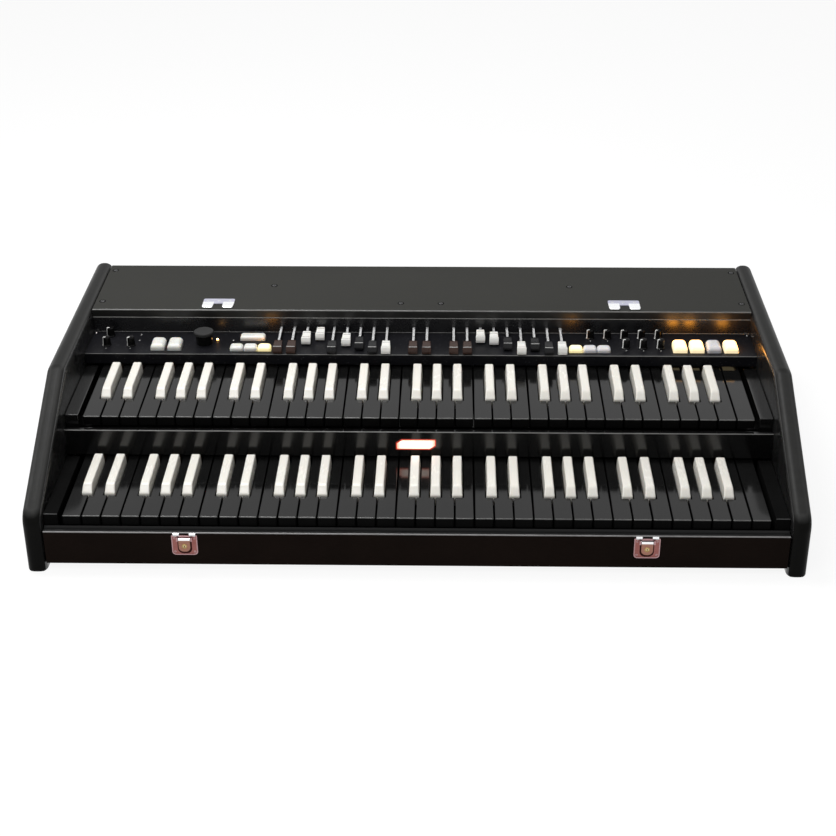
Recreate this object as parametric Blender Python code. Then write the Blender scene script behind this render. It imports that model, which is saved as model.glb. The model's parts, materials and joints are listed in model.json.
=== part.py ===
"""Portable two-manual drawbar organ, lid taken off.

Frame: metres, +Z up, X along the keyboards, the player sits on the -Y side.
The origin is on the floor, under the middle of the whole instrument.
Inside the functions a place is given as (x, depth behind the lower key fronts,
height above the lower naturals' top); make() turns it into world coordinates.
"""
import math

import bmesh
import bpy
from mathutils import Vector

MM = 0.001
SEAT = 0.3 * MM                  # gap between two pieces that touch

# Sizes of the keyboards
NATURAL_PITCH = 23.5 * MM
NATURALS = 36                    # five octaves and a top C
KEY_GAP = 1.0 * MM
NATURAL_THICK = 13.0 * MM
HEAD_LENGTH = 48.8 * MM          # natural in front of the sharps
SHARP_LENGTH = 82.2 * MM
SHARP_WIDTH = 13.0 * MM
SHARP_TOP_WIDTH = 11.0 * MM
SHARP_HEIGHT = 11.0 * MM
SHARP_CLEAR = 1.0 * MM           # free space round a sharp in its notch
LEVER_WIDTH = 9.4 * MM
BODY_REAR = 18.0 * MM            # naturals' full-height bodies end this far behind the sharps
COMB_LAP = 3.0 * MM              # their tails reach into the bodies by this much
TAIL_INSET = 0.6 * MM
TAIL_RAIL = 10.0 * MM            # depth of the rail that joins the tails
CROSS_GAP = 21.0 * MM            # sharps to the rail that joins their levers
CROSS_DEPTH = 12.0 * MM
CROSS_HEIGHT = 7.5 * MM
CROSS_SINK = 1.5 * MM
CROSS_SIDE = 3.0 * MM            # that rail past the outer sharps' centres
LEVER_TOP = 1.0 * MM             # key levers lie this far below the naturals' top
TAIL_TOP = 6.0 * MM              # naturals' tails lie this far below it
PIVOT_REACH = 69.0 * MM          # key pivot behind the sharps
PIVOT_DROP = 3.0 * MM            # pivot above the naturals' underside
STOP_DROP = 12.0 * MM            # free way under the naturals at the stop rail
STOP_FRONT = 22.0 * MM
STOP_DEPTH = 36.0 * MM
PIVOT_RAIL = 24.0 * MM
PIVOT_RAIL_DROP = 7.0 * MM
RIDGE_WIDTH = 3.0 * MM
MANUAL_RISE = 53.0 * MM
END_GAP = 5.2 * MM               # last natural to the block beside it
END_BLOCK = 17.0 * MM
END_RISE = 1.0 * MM              # blocks stand this far above the naturals
END_FRONT = 2.0 * MM             # and start this far behind the key fronts
DIVIDER_GAP = 9.7 * MM           # sharps to the glossy board behind them
DIVIDER_LIFT = 3.0 * MM          # naturals' top to that board's lower edge
DIVIDER_THICK = 6.5 * MM
DIVIDER_DROP = 1.5 * MM          # its top edge below the upper naturals' underside
DIVIDER_LEAD = 10.1 * MM         # upper key fronts stand this far behind its face
SHELF_THICK = 4.0 * MM
SHELF_DROP = 16.0 * MM           # shelf below the upper naturals' underside

SHARP_REAR = HEAD_LENGTH + SHARP_LENGTH
PIVOT_Y = SHARP_REAR + PIVOT_REACH
PIVOT_Z = PIVOT_DROP - NATURAL_THICK
DIVIDER_FACE = SHARP_REAR + DIVIDER_GAP
DIVIDER_TOP = MANUAL_RISE - NATURAL_THICK - DIVIDER_DROP
MANUAL_SETBACK = DIVIDER_FACE + DIVIDER_LEAD
SHELF_TOP = MANUAL_RISE - NATURAL_THICK - SHELF_DROP
KEYS_HALF = NATURALS * NATURAL_PITCH / 2.0
BLOCK_HALF = KEYS_HALF + END_GAP
BOARD_HALF = BLOCK_HALF + END_BLOCK
INNER_HALF = BOARD_HALF + SEAT   # middle of the instrument to a side panel's inner face

# Sizes of the control panel
SHEET = 2.0 * MM
DECK_RISE = 18.3 * MM            # deck above the upper naturals
DECK_DEPTH = 68.0 * MM
WALL_HEIGHT = 21.2 * MM
DECK_FRONT = MANUAL_SETBACK + DIVIDER_FACE
DECK_TOP = MANUAL_RISE + DECK_RISE
WALL_FACE = DECK_FRONT + DECK_DEPTH
LIP_LOW = MANUAL_RISE + DIVIDER_LIFT

LAYOUT = KEYS_HALF / 423.0        # the controls' places keep in proportion to the keyboards
BAR_PITCH = 18.0 * LAYOUT
BAR_OVERHANG = 2.0 * MM          # a drawn-out cap stands this far in front of the deck
BAR_END_GAP = 1.0 * MM           # a pushed-in cap stops this far before the wall
CAP_LENGTH = 25.0 * MM
CAP_WIDTH = 12.4 * MM
CAP_TAPER = 2.0 * MM
CAP_LIFT = 1.7 * MM
CAP_HEIGHT = 9.5 * MM
CAP_EASE = 0.6 * MM
CAP_DIP = 1.0 * MM               # the cap's rear end is this much lower at top and bottom
STEM_WIDTH = 3.4 * MM
STEM_THICK = 2.4 * MM
STEM_RISE = 6.7 * MM
SLOT_CLEAR = 0.3 * MM
CARRIAGE_LENGTH = 24.0 * MM
CARRIAGE_WIDTH = 10.0 * MM
CARRIAGE_HEIGHT = 8.0 * MM
CARRIAGE_GAP = 1.5 * MM          # carriage behind the wall when the bar is drawn out
CARD_THICK = 1.6 * MM
CARD_MARGIN = 15.0 * MM
CHIP_LENGTH = 40.0 * MM
CHIP_DEPTH = 16.0 * MM
CHIP_HEIGHT = 5.4 * MM
UPPER_SETTING = (8, 8, 2.9, 0.6, 8, 3.8, 5.8, 8, 8)
PEDAL_SETTING = (8, 8)
LOWER_SETTING = (8, 8, 1.6, 2.7, 5.6, 8, 5.9, 8, 8)
BAR_OUT_Y = DECK_FRONT - BAR_OVERHANG
BAR_TRAVEL = WALL_FACE - BAR_OUT_Y - CAP_LENGTH - BAR_END_GAP
BAR_STEPS = 8
STEM_Z = DECK_TOP + STEM_RISE
COLUMNS = 22                     # drawbar places, two of them left free

SHAFT_R = 3.0 * MM
SHAFT_CLEAR = 0.3 * MM
SHAFT_LENGTH = 7.0 * MM
KNOB_R = 6.0 * MM
KNOB_HEIGHT = 13.0 * MM
KNOB_FRONT_ROW = 24.5 * MM       # rows behind the deck's front edge
KNOB_REAR_ROW = 53.5 * MM
KNOB_LEFT_X = 420.0 * LAYOUT
KNOB_LEFT_PITCH = 32.5 * LAYOUT
KNOB_RIGHT_X = 228.8 * LAYOUT
KNOB_PITCH = 22.9 * LAYOUT
ENCODER_X = 290.0 * LAYOUT
ENCODER_ROW = 33.0 * MM
ENCODER_R = 13.5 * MM
ENCODER_BODY_R = 10.0 * MM
ENCODER_HEIGHT = 18.0 * MM
ENCODER_DISC = 5.4 * MM

BUTTON_CLEAR = 0.4 * MM
BUTTON_LENGTH = 14.8 * MM
BUTTON_WIDTH = 17.8 * LAYOUT
BUTTON_HEIGHT = 6.0 * MM
BUTTON_ROW = 8.5 * MM
BANK_X = 226.0 * LAYOUT
BUTTON_SPACE = 0.8 * MM
WIDE_ROW = 40.5 * MM
WIDE_WIDTH = 34.0 * LAYOUT
TAB_ROW = 9.5 * MM
TAB_LENGTH = 28.0 * MM
TAB_WIDTH = 18.6 * LAYOUT
TAB_HEIGHT = 8.0 * MM
TAB_PITCH = 22.5 * LAYOUT
TAB_LEFT_X = 350.3 * LAYOUT
TAB_RIGHT_X = 345.8 * LAYOUT
TAB_HINGE = 1.5 * MM             # rocking axis in front of a tab's rear edge
CAP_SINK = 3.0 * MM              # button bodies reach this far below the deck's top

# Sizes of the case
FLOOR_TO_KEYS = 73.5 * MM        # floor to the top of the lower naturals
FOOT_CLEAR = 10.8 * MM           # floor to the boards between the side panels
SIDE_LEAD = 12.5 * MM            # side panels stand this far in front of the key fronts
SIDE_THICK = 24.0 * MM
SIDE_ROUND = 10.5 * MM           # rounding of the side panels' long edges
BEND_ROUND = 24.0 * MM           # rounding of the side panels' two bends
CORNER_ROUND = 10.0 * MM         # and of their rear top corner
FOOT_ROUND = 3.0 * MM            # and of their feet's corners
SIDE_RISE = 1.5 * MM             # side panels above the top board
SIDE_REAR = 12.0 * MM            # and behind it
BEND_LOW_Z = 5.0 * MM            # front edge turns into the slope here
SLOPE_LENGTH = 197.7 * MM        # depth of the slope, up to the flat top
TOP_BOARD_THICK = 12.0 * MM
TOP_BOARD_DEPTH = 150.5 * MM
TOP_OVERHANG = 1.0 * MM          # top board in front of the drawbar wall
REAR_THICK = 12.0 * MM
BASE_THICK = 8.0 * MM
FRONT_LEAD = 9.2 * MM            # front board's face in front of the key fronts
FRONT_THICK = 18.0 * MM
LIP_THICK = 6.5 * MM
LIP_DROP = 17.0 * MM             # front board's top edge below the naturals' top
SHOULDER_DROP = 10.0 * MM        # its thick part below that edge

TOP_FRONT = WALL_FACE - TOP_OVERHANG
TOP_UNDER = DECK_TOP + WALL_HEIGHT
TOP_BOARD_TOP = TOP_UNDER + TOP_BOARD_THICK
SIDE_TOP = TOP_BOARD_TOP + SIDE_RISE
REAR_FACE = TOP_FRONT + TOP_BOARD_DEPTH
CASE_DEPTH = REAR_FACE + SIDE_REAR
BOARD_LOW = FOOT_CLEAR - FLOOR_TO_KEYS
BASE_TOP = BOARD_LOW + BASE_THICK

INLET_END = 65.2 * MM            # inlet's middle to the boards' end
INLET_WIDTH = 27.0 * MM
INLET_HEIGHT = 20.0 * MM
INLET_DEPTH = 16.0 * MM
JACK_REACH = 130.0 * MM          # inlet to the farthest jack
JACK_PITCH = 24.0 * MM
JACKS = 4
JACK_R = 3.4 * MM
FIELD_MARGIN = 14.0 * MM
FIELD_HEIGHT = 34.0 * MM
FIELD_DEPTH = 5.0 * MM
BOSS_WALL = 4.0 * MM
BOSS_DEPTH = 12.0 * MM
INLET_X = BOARD_HALF - INLET_END
JACK_X = INLET_X - JACK_REACH

# Sizes of the latches and the lid hinges
LATCH_X = 275.9 * MM
PLATE_WIDTH = 31.0 * MM
PLATE_HEIGHT = 30.0 * MM
PLATE_THICK = 1.5 * MM
PLATE_DROP = 0.5 * MM
HOOK_WIDTH = 7.5 * MM
HOOK_HEIGHT = 2.6 * MM
HOOK_INSET = 2.0 * MM
LEVER_THICK = 2.5 * MM
TONGUE_WIDTH = 14.0 * MM
TONGUE_LENGTH = 19.1 * MM
TONGUE_ROUND = 5.5 * MM
TONGUE_DROP = 6.9 * MM           # tongue's pivot below the plate's top
EAR_WIDTH = 2.2 * MM
EAR_CLEAR = 0.4 * MM
EAR_HEIGHT = 6.5 * MM
BARREL_R = 3.2 * MM
BARREL_DROP = 10.6 * MM
BARREL_STAND = 0.5 * MM
HINGE_X = 276.0 * MM
HINGE_WIDTH = 42.5 * MM
HINGE_DEPTH = 30.0 * MM
HINGE_SET = 4.0 * MM             # leaf behind the top board's front edge
HINGE_THICK = 1.2 * MM
KNUCKLE_R = 2.4 * MM
KNUCKLE_GAP = 13.0 * MM

PLATE_FACE = -FRONT_LEAD - PLATE_THICK
LATCH_LEAD = FRONT_LEAD + PLATE_THICK + SEAT + LEVER_THICK + BARREL_STAND
FRONT_MOST = max(LATCH_LEAD, SIDE_LEAD)
MID_Y = (CASE_DEPTH - FRONT_MOST) / 2.0


def world(y, z):
    """Turn a depth behind the key fronts and a height above them into world Y and Z."""
    return y - MID_Y, z + FLOOR_TO_KEYS


def clear_scene():
    """Remove every object that the start-up scene holds."""
    for obj in list(bpy.data.objects):
        bpy.data.objects.remove(obj, do_unlink=True)


def finish(name, colour, rough, metal=0.0):
    """Make one plain material."""
    mat = bpy.data.materials.new(name)
    mat.use_nodes = True
    shader = mat.node_tree.nodes["Principled BSDF"]
    shader.inputs["Base Color"].default_value = (*colour, 1.0)
    shader.inputs["Roughness"].default_value = rough
    shader.inputs["Metallic"].default_value = metal
    mat.diffuse_color = (*colour, 1.0)
    return mat


def make(name, verts, faces, mat=None):
    """Make a mesh object from points given as (x, depth, height)."""
    mesh = bpy.data.meshes.new(name)
    mesh.from_pydata([(x, *world(y, z)) for x, y, z in verts], [], faces)
    bm = bmesh.new()
    bm.from_mesh(mesh)
    bmesh.ops.recalc_face_normals(bm, faces=bm.faces)
    bm.to_mesh(mesh)
    bm.free()
    obj = bpy.data.objects.new(name, mesh)
    bpy.context.scene.collection.objects.link(obj)
    if mat is not None:
        mesh.materials.append(mat)
    return obj


def add_rings(verts, faces, rings):
    """Append a closed skin over rings of equal point count, capped at both ends."""
    start = len(verts)
    count = len(rings[0])
    for ring in rings:
        verts += ring
    for k in range(len(rings) - 1):
        a = start + k * count
        b = a + count
        for i in range(count):
            j = (i + 1) % count
            faces.append([a + i, a + j, b + j, b + i])
    faces.append([start + i for i in reversed(range(count))])
    last = start + (len(rings) - 1) * count
    faces.append([last + i for i in range(count)])


def loft(name, rings, mat=None):
    """Make one closed body over rings of points."""
    verts, faces = [], []
    add_rings(verts, faces, rings)
    return make(name, verts, faces, mat)


def slab(x0, x1, y0, y1, z0, z1):
    """The two rings that bound a box."""
    return [[(x0, y0, z), (x1, y0, z), (x1, y1, z), (x0, y1, z)] for z in (z0, z1)]


def box(name, x0, x1, y0, y1, z0, z1, mat=None):
    """Make one box; the two X limits may come in either order."""
    return loft(name, slab(min(x0, x1), max(x0, x1), y0, y1, z0, z1), mat)


def circle(radius, sides, turn=0.0):
    """Points of a regular polygon about the origin."""
    step = 2.0 * math.pi / sides
    turns = [step * (k + turn) for k in range(sides)]
    return [(radius * math.cos(a), radius * math.sin(a)) for a in turns]


def lathe(name, cx, cy, profile, sides, mat=None):
    """Turn (radius, height) pairs about an upright axis into a closed body."""
    rings = [[(cx + dx, cy + dy, z) for dx, dy in circle(r, sides)] for r, z in profile]
    return loft(name, rings, mat)


def combine(obj, tool, operation):
    """Join a tool body to an object, or cut it out, and drop the tool."""
    tool.hide_render = True
    tool.display_type = "WIRE"
    mod = obj.modifiers.new("join", "BOOLEAN")
    mod.operation = operation
    mod.solver = "EXACT"
    mod.object = tool
    view = bpy.context.evaluated_depsgraph_get()
    mesh = bpy.data.meshes.new_from_object(obj.evaluated_get(view))
    old = obj.data
    obj.modifiers.remove(mod)
    obj.data = mesh
    mesh.name = old.name
    bpy.data.meshes.remove(old)
    bpy.data.objects.remove(tool, do_unlink=True)
    return obj


def tidy(obj):
    """Merge doubled points and melt flat faces together."""
    bm = bmesh.new()
    bm.from_mesh(obj.data)
    bmesh.ops.remove_doubles(bm, verts=bm.verts, dist=0.00002)
    bmesh.ops.dissolve_limit(bm, angle_limit=0.002, verts=bm.verts, edges=bm.edges)
    bmesh.ops.recalc_face_normals(bm, faces=bm.faces)
    bm.to_mesh(obj.data)
    bm.free()
    return obj


def smooth(obj, degrees=40.0):
    """Shade round faces smoothly and keep real corners sharp."""
    for poly in obj.data.polygons:
        poly.use_smooth = True
    bm = bmesh.new()
    bm.from_mesh(obj.data)
    for edge in bm.edges:
        if len(edge.link_faces) == 2 and edge.calc_face_angle() > math.radians(degrees):
            edge.smooth = False
    bm.to_mesh(obj.data)
    bm.free()
    return obj


def set_pivot(obj, x, y, z):
    """Move an object's origin to its joint axis without moving its shape."""
    spot = Vector((x, *world(y, z)))
    for vert in obj.data.vertices:
        vert.co -= spot
    obj.location = spot
    return obj


# Case pieces
def side_outline(inset):
    """Side view of a side panel with its long edges drawn in by an inset."""
    foot = -FLOOR_TO_KEYS
    low = inset * 0.14
    slope = Vector((SLOPE_LENGTH, SIDE_TOP - BEND_LOW_Z))
    across = inset * slope.length / slope.x
    front = inset - SIDE_LEAD
    bend_top = SLOPE_LENGTH - SIDE_LEAD
    slope_z = BEND_LOW_Z - across
    rate = slope.y / slope.x
    top = SIDE_TOP - inset
    corners = [
        (front, foot + low, FOOT_ROUND),
        (front, slope_z + rate * inset, BEND_ROUND),
        (bend_top + (across - inset) / rate, top, BEND_ROUND),
        (CASE_DEPTH - inset, top, CORNER_ROUND),
        (CASE_DEPTH - inset, foot + low, FOOT_ROUND),
    ]
    points = []
    count = len(corners)
    steps = 4
    for i, (y, z, radius) in enumerate(corners):
        here = Vector((y, z))
        before = (Vector(corners[i - 1][:2]) - here).normalized()
        after = (Vector(corners[(i + 1) % count][:2]) - here).normalized()
        radius = max(radius - inset, FOOT_ROUND / 3.0)
        half = before.angle(after) / 2.0
        centre = here + (before + after).normalized() * (radius / math.sin(half))
        first = here + before * (radius / math.tan(half)) - centre
        turn = math.pi - 2.0 * half
        for k in range(steps + 1):
            a = -turn * k / steps
            y1 = first.x * math.cos(a) - first.y * math.sin(a)
            z1 = first.x * math.sin(a) + first.y * math.cos(a)
            points.append((centre.x + y1, centre.y + z1))
    return points


def side_panel(name, side, mat):
    """A side panel: one board with rounded long edges that also forms the feet."""
    steps = 5
    offsets = []
    for k in range(steps + 1):
        a = math.pi / 2.0 * k / steps
        offsets.append((SIDE_ROUND * (1.0 - math.cos(a)), SIDE_ROUND * (1.0 - math.sin(a))))
    offsets += [(SIDE_THICK - out, inset) for out, inset in reversed(offsets)]
    rings = []
    for out, inset in offsets:
        x = side * (INNER_HALF + out)
        rings.append([(x, y, z) for y, z in side_outline(inset)])
    return smooth(loft(name, rings, mat), 35.0)


def key_bed(obj, setback, rise, low):
    """Add a manual's stop rail, pivot rail, ridge and end blocks to a frame."""
    under = rise - NATURAL_THICK
    stop = setback + STOP_FRONT
    pivot = setback + PIVOT_Y
    half = PIVOT_RAIL / 2.0
    combine(obj, box("stop", -BOARD_HALF, BOARD_HALF, stop, stop + STOP_DEPTH, low, under - STOP_DROP),
            "UNION")
    combine(obj, box("rail", -BOARD_HALF, BOARD_HALF, pivot - half, pivot + half, low,
                     under - PIVOT_RAIL_DROP),
            "UNION")
    half = RIDGE_WIDTH / 2.0
    foot = under - PIVOT_RAIL_DROP - 1.0 * MM
    combine(obj, box("ridge", -KEYS_HALF, KEYS_HALF, pivot - half, pivot + half, foot, under - SEAT), "UNION")
    return obj


def base_frame(mat):
    """Bottom board with the lower keyboard's rails and end blocks."""
    front = FRONT_THICK - FRONT_LEAD + SEAT
    rear = REAR_FACE - REAR_THICK - SEAT
    obj = box("base_frame", -BOARD_HALF, BOARD_HALF, front, rear, BOARD_LOW, BASE_TOP, mat)
    deep = BASE_TOP - 1.0 * MM
    key_bed(obj, 0.0, 0.0, deep)
    ledge = SEAT - LIP_DROP - SHOULDER_DROP
    for side in (-1, 1):
        outer, inner = side * BOARD_HALF, side * BLOCK_HALF
        combine(obj, box("block", outer, inner, front, DIVIDER_FACE - SEAT, deep, END_RISE), "UNION")
        combine(obj, box("nose", outer, inner, END_FRONT, front + 1.0 * MM, ledge, END_RISE), "UNION")
    return tidy(obj)


def upper_key_frame(mat):
    """Shelf of the upper keyboard with the glossy board between the two manuals."""
    face, back = DIVIDER_FACE, DIVIDER_FACE + DIVIDER_THICK
    low = SHELF_TOP - SHELF_THICK
    obj = box("upper_key_frame", -BOARD_HALF, BOARD_HALF, back - 1.0 * MM,
              MANUAL_SETBACK + PIVOT_Y + PIVOT_RAIL, low, SHELF_TOP, mat)
    combine(obj, box("face", -BOARD_HALF, BOARD_HALF, face, back, DIVIDER_LIFT, DIVIDER_TOP), "UNION")
    key_bed(obj, MANUAL_SETBACK, MANUAL_RISE, low + 1.0 * MM)
    for side in (-1, 1):
        outer, inner = side * BOARD_HALF, side * BLOCK_HALF
        combine(obj, box("block", outer, inner, MANUAL_SETBACK + END_FRONT, DECK_FRONT - SEAT, low + 1.0 * MM,
                         MANUAL_RISE + END_RISE), "UNION")
    return tidy(obj)


def front_board(mat):
    """Front rail with a thin lip in front of the keys and the two latch plates."""
    face = -FRONT_LEAD
    lip = face + LIP_THICK
    back = face + FRONT_THICK
    shoulder = -LIP_DROP - SHOULDER_DROP
    profile = [(face, BOARD_LOW), (back, BOARD_LOW), (back, shoulder), (lip, shoulder), (lip, -LIP_DROP),
               (face, -LIP_DROP)]
    rings = [[(x, y, z) for y, z in profile] for x in (-BOARD_HALF, BOARD_HALF)]
    obj = loft("front_board", rings, mat)
    for side in (-1, 1):
        combine(obj, latch_plate(side * LATCH_X), "UNION")
    return tidy(obj)


def latch_plate(cx):
    """A latch's fixed plate: two hooks on its top edge and two ears for the tongue."""
    half = PLATE_WIDTH / 2.0
    top = -LIP_DROP - PLATE_DROP
    bottom = top - PLATE_HEIGHT
    hook = half - HOOK_INSET
    dip = top - HOOK_HEIGHT
    side = [(half, bottom), (half, dip), (hook, dip), (hook, top)]
    side += [(hook - HOOK_WIDTH, top), (hook - HOOK_WIDTH, dip)]
    outline = side + [(-x, z) for x, z in reversed(side)]
    rings = [[(cx + x, y, z) for x, z in outline] for y in (1.0 * MM - FRONT_LEAD, PLATE_FACE)]
    plate = loft("plate", rings)
    pivot = top - TONGUE_DROP
    inner = TONGUE_WIDTH / 2.0 + EAR_CLEAR
    for ear in (-1, 1):
        combine(plate, box("ear", cx + ear * inner, cx + ear * (inner + EAR_WIDTH), PLATE_FACE - LEVER_THICK,
                           PLATE_FACE + 1.0 * MM, pivot - EAR_HEIGHT * 0.7, pivot + EAR_HEIGHT * 0.3), "UNION")
    return plate


def rear_panel(mat):
    """Rear panel with a sunk field that holds a mains inlet and a row of jack sockets."""
    inner = REAR_FACE - REAR_THICK
    obj = box("rear_panel", -BOARD_HALF, BOARD_HALF, inner, REAR_FACE, BOARD_LOW, TOP_UNDER - SEAT, mat)
    x0 = JACK_X - JACK_R - FIELD_MARGIN
    x1 = INLET_X + INLET_WIDTH / 2.0 + FIELD_MARGIN
    half = FIELD_HEIGHT / 2.0
    wall = BOSS_WALL
    combine(obj, box("boss", x0 - wall, x1 + wall, inner - BOSS_DEPTH, inner + 1.0 * MM, -half - wall,
                     half + wall), "UNION")
    floor = REAR_FACE - FIELD_DEPTH
    combine(obj, box("field", x0, x1, floor, REAR_FACE + 5.0 * MM, -half, half), "DIFFERENCE")
    half = INLET_WIDTH / 2.0
    rise = INLET_HEIGHT / 2.0
    combine(obj, box("inlet", INLET_X - half, INLET_X + half, floor - INLET_DEPTH, REAR_FACE, -rise, rise),
            "DIFFERENCE")
    for k in range(JACKS):
        cx = JACK_X + JACK_PITCH * k
        rings = [[(cx + dx, y, dz) for dx, dz in circle(JACK_R, 12)] for y in (floor - INLET_DEPTH, REAR_FACE)]
        combine(obj, loft("jack", rings), "DIFFERENCE")
    return tidy(obj)


def top_board(mat):
    """Top board with the two lift-off hinge leaves for the lid on its front edge."""
    obj = box("top_board", -BOARD_HALF, BOARD_HALF, TOP_FRONT, REAR_FACE, TOP_UNDER, TOP_BOARD_TOP, mat)
    for side in (-1, 1):
        combine(obj, hinge_leaf(side * HINGE_X), "UNION")
    return tidy(obj)


def hinge_leaf(cx):
    """A hinge leaf: thin plate whose front edge carries two knuckles."""
    half = HINGE_WIDTH / 2.0
    front = TOP_FRONT + HINGE_SET
    top = TOP_BOARD_TOP
    leaf = box("leaf", cx - half, cx + half, front, front + HINGE_DEPTH, top - 1.0 * MM, top + HINGE_THICK)
    for side in (-1, 1):
        ends = sorted((cx + side * half, cx + side * KNUCKLE_GAP / 2.0))
        rings = []
        for x in ends:
            rings.append([(x, front + 1.0 * MM + dy, top + 1.0 * MM + dz)
                          for dy, dz in circle(KNUCKLE_R, 10, 0.5)])
        combine(leaf, loft("knuckle", rings), "UNION")
    return leaf


# Control panel pieces
def bar_columns():
    """X of every drawbar with its group, number in the group and setting."""
    left = -(COLUMNS - 1) / 2.0 * BAR_PITCH
    groups = (("upper", 0, UPPER_SETTING), ("pedal", 10, PEDAL_SETTING), ("lower", 13, LOWER_SETTING))
    columns = []
    for group, start, settings in groups:
        for k, setting in enumerate(settings):
            columns.append((left + (start + k) * BAR_PITCH, group, k + 1, setting))
    return columns


def knob_spots():
    """Names and centres of the eleven small knobs."""
    front, rear = DECK_FRONT + KNOB_FRONT_ROW, DECK_FRONT + KNOB_REAR_ROW
    spots = [("knob_left_rear", -KNOB_LEFT_X, rear)]
    for k in range(2):
        spots.append((f"knob_left_front_{k + 1}", k * KNOB_LEFT_PITCH - KNOB_LEFT_X, front))
    for k in range(5):
        spots.append((f"knob_right_rear_{k + 1}", KNOB_RIGHT_X + k * KNOB_PITCH, rear))
    for k in range(3):
        spots.append((f"knob_right_front_{k + 1}", KNOB_RIGHT_X + (k + 2) * KNOB_PITCH, front))
    return spots


def tab_spots():
    """Names and centre X of the six rocker tabs."""
    spots = [(f"tab_left_{k + 1}", k * TAB_PITCH - TAB_LEFT_X) for k in range(2)]
    spots += [(f"tab_right_{k + 1}", TAB_RIGHT_X + k * TAB_PITCH) for k in range(4)]
    return spots


def button_spots():
    """Names, centre X, front depth and width of the push buttons."""
    spots = [("button_wide", -BANK_X, DECK_FRONT + WIDE_ROW, WIDE_WIDTH)]
    for label, side in (("left", -1), ("right", 1)):
        for k in range(3):
            x = side * BANK_X + (k - 1) * (BUTTON_WIDTH + BUTTON_SPACE)
            spots.append((f"button_{label}_{k + 1}", x, DECK_FRONT + BUTTON_ROW, BUTTON_WIDTH))
    return spots


def deck_cut(cx, y0, length, width):
    """Rings of one upright rectangular opening through the deck."""
    half = width / 2.0 + BUTTON_CLEAR
    return slab(cx - half, cx + half, y0 - BUTTON_CLEAR, y0 + length + BUTTON_CLEAR, DECK_TOP - 2.0 * SHEET,
                DECK_TOP + SHEET)


def control_panel(mat):
    """Folded glossy sheet: front lip, flat deck and the wall with the drawbar slots."""
    y0, y1 = DECK_FRONT, WALL_FACE
    top = TOP_UNDER - SEAT
    under = DECK_TOP - SHEET
    profile = [(y0, LIP_LOW), (y0 + SHEET, LIP_LOW), (y0 + SHEET, under), (y1 + SHEET, under),
               (y1 + SHEET, top), (y1, top), (y1, DECK_TOP), (y0, DECK_TOP)]
    rings = [[(x, y, z) for y, z in profile] for x in (-BOARD_HALF, BOARD_HALF)]
    obj = loft("control_panel", rings, mat)
    verts, faces = [], []
    half = STEM_WIDTH / 2.0 + SLOT_CLEAR
    rise = STEM_THICK / 2.0 + SLOT_CLEAR
    for x, _group, _number, _setting in bar_columns():
        add_rings(verts, faces, slab(x - half, x + half, y1 - SHEET, y1 + 2.0 * SHEET, STEM_Z - rise,
                                     STEM_Z + rise))
    combine(obj, make("slots", verts, faces), "DIFFERENCE")
    holes = [(x, y) for _name, x, y in knob_spots()] + [(-ENCODER_X, DECK_FRONT + ENCODER_ROW)]
    verts, faces = [], []
    for x, y in holes:
        ring = circle(SHAFT_R + SHAFT_CLEAR, 12)
        rings = [[(x + dx, y + dy, z) for dx, dy in ring] for z in (DECK_TOP - 2.0 * SHEET, DECK_TOP + SHEET)]
        add_rings(verts, faces, rings)
    for _name, x in tab_spots():
        add_rings(verts, faces, deck_cut(x, DECK_FRONT + TAB_ROW, TAB_LENGTH, TAB_WIDTH))
    add_rings(verts, faces, deck_cut(-BANK_X, DECK_FRONT + WIDE_ROW, BUTTON_LENGTH, WIDE_WIDTH))
    bank = 3.0 * BUTTON_WIDTH + 2.0 * BUTTON_SPACE
    for side in (-1, 1):
        add_rings(verts, faces, deck_cut(side * BANK_X, DECK_FRONT + BUTTON_ROW, BUTTON_LENGTH, bank))
    combine(obj, make("holes", verts, faces), "DIFFERENCE")
    return tidy(obj)


def drawbar_card(mat):
    """Long circuit board under the drawbar carriages, with a row of chips below it."""
    top = STEM_Z - CARRIAGE_HEIGHT / 2.0 - SEAT
    low = top - CARD_THICK
    y0 = WALL_FACE + SHEET + SEAT
    y1 = y0 + CARRIAGE_GAP + BAR_TRAVEL + CARRIAGE_LENGTH + CARRIAGE_GAP
    half = (COLUMNS - 1) / 2.0 * BAR_PITCH + CARD_MARGIN
    obj = box("drawbar_circuit_board", -half, half, y0, y1, low, top, mat)
    verts, faces = [], []
    for k in range(4):
        x = half * (k - 1.5) / 2.0
        y = y0 + CHIP_DEPTH
        add_rings(verts, faces, slab(x - CHIP_LENGTH / 2.0, x + CHIP_LENGTH / 2.0, y, y + CHIP_DEPTH,
                                     low - CHIP_HEIGHT, low + CARD_THICK / 2.0))
    combine(obj, make("chips", verts, faces), "UNION")
    return tidy(obj)


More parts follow.
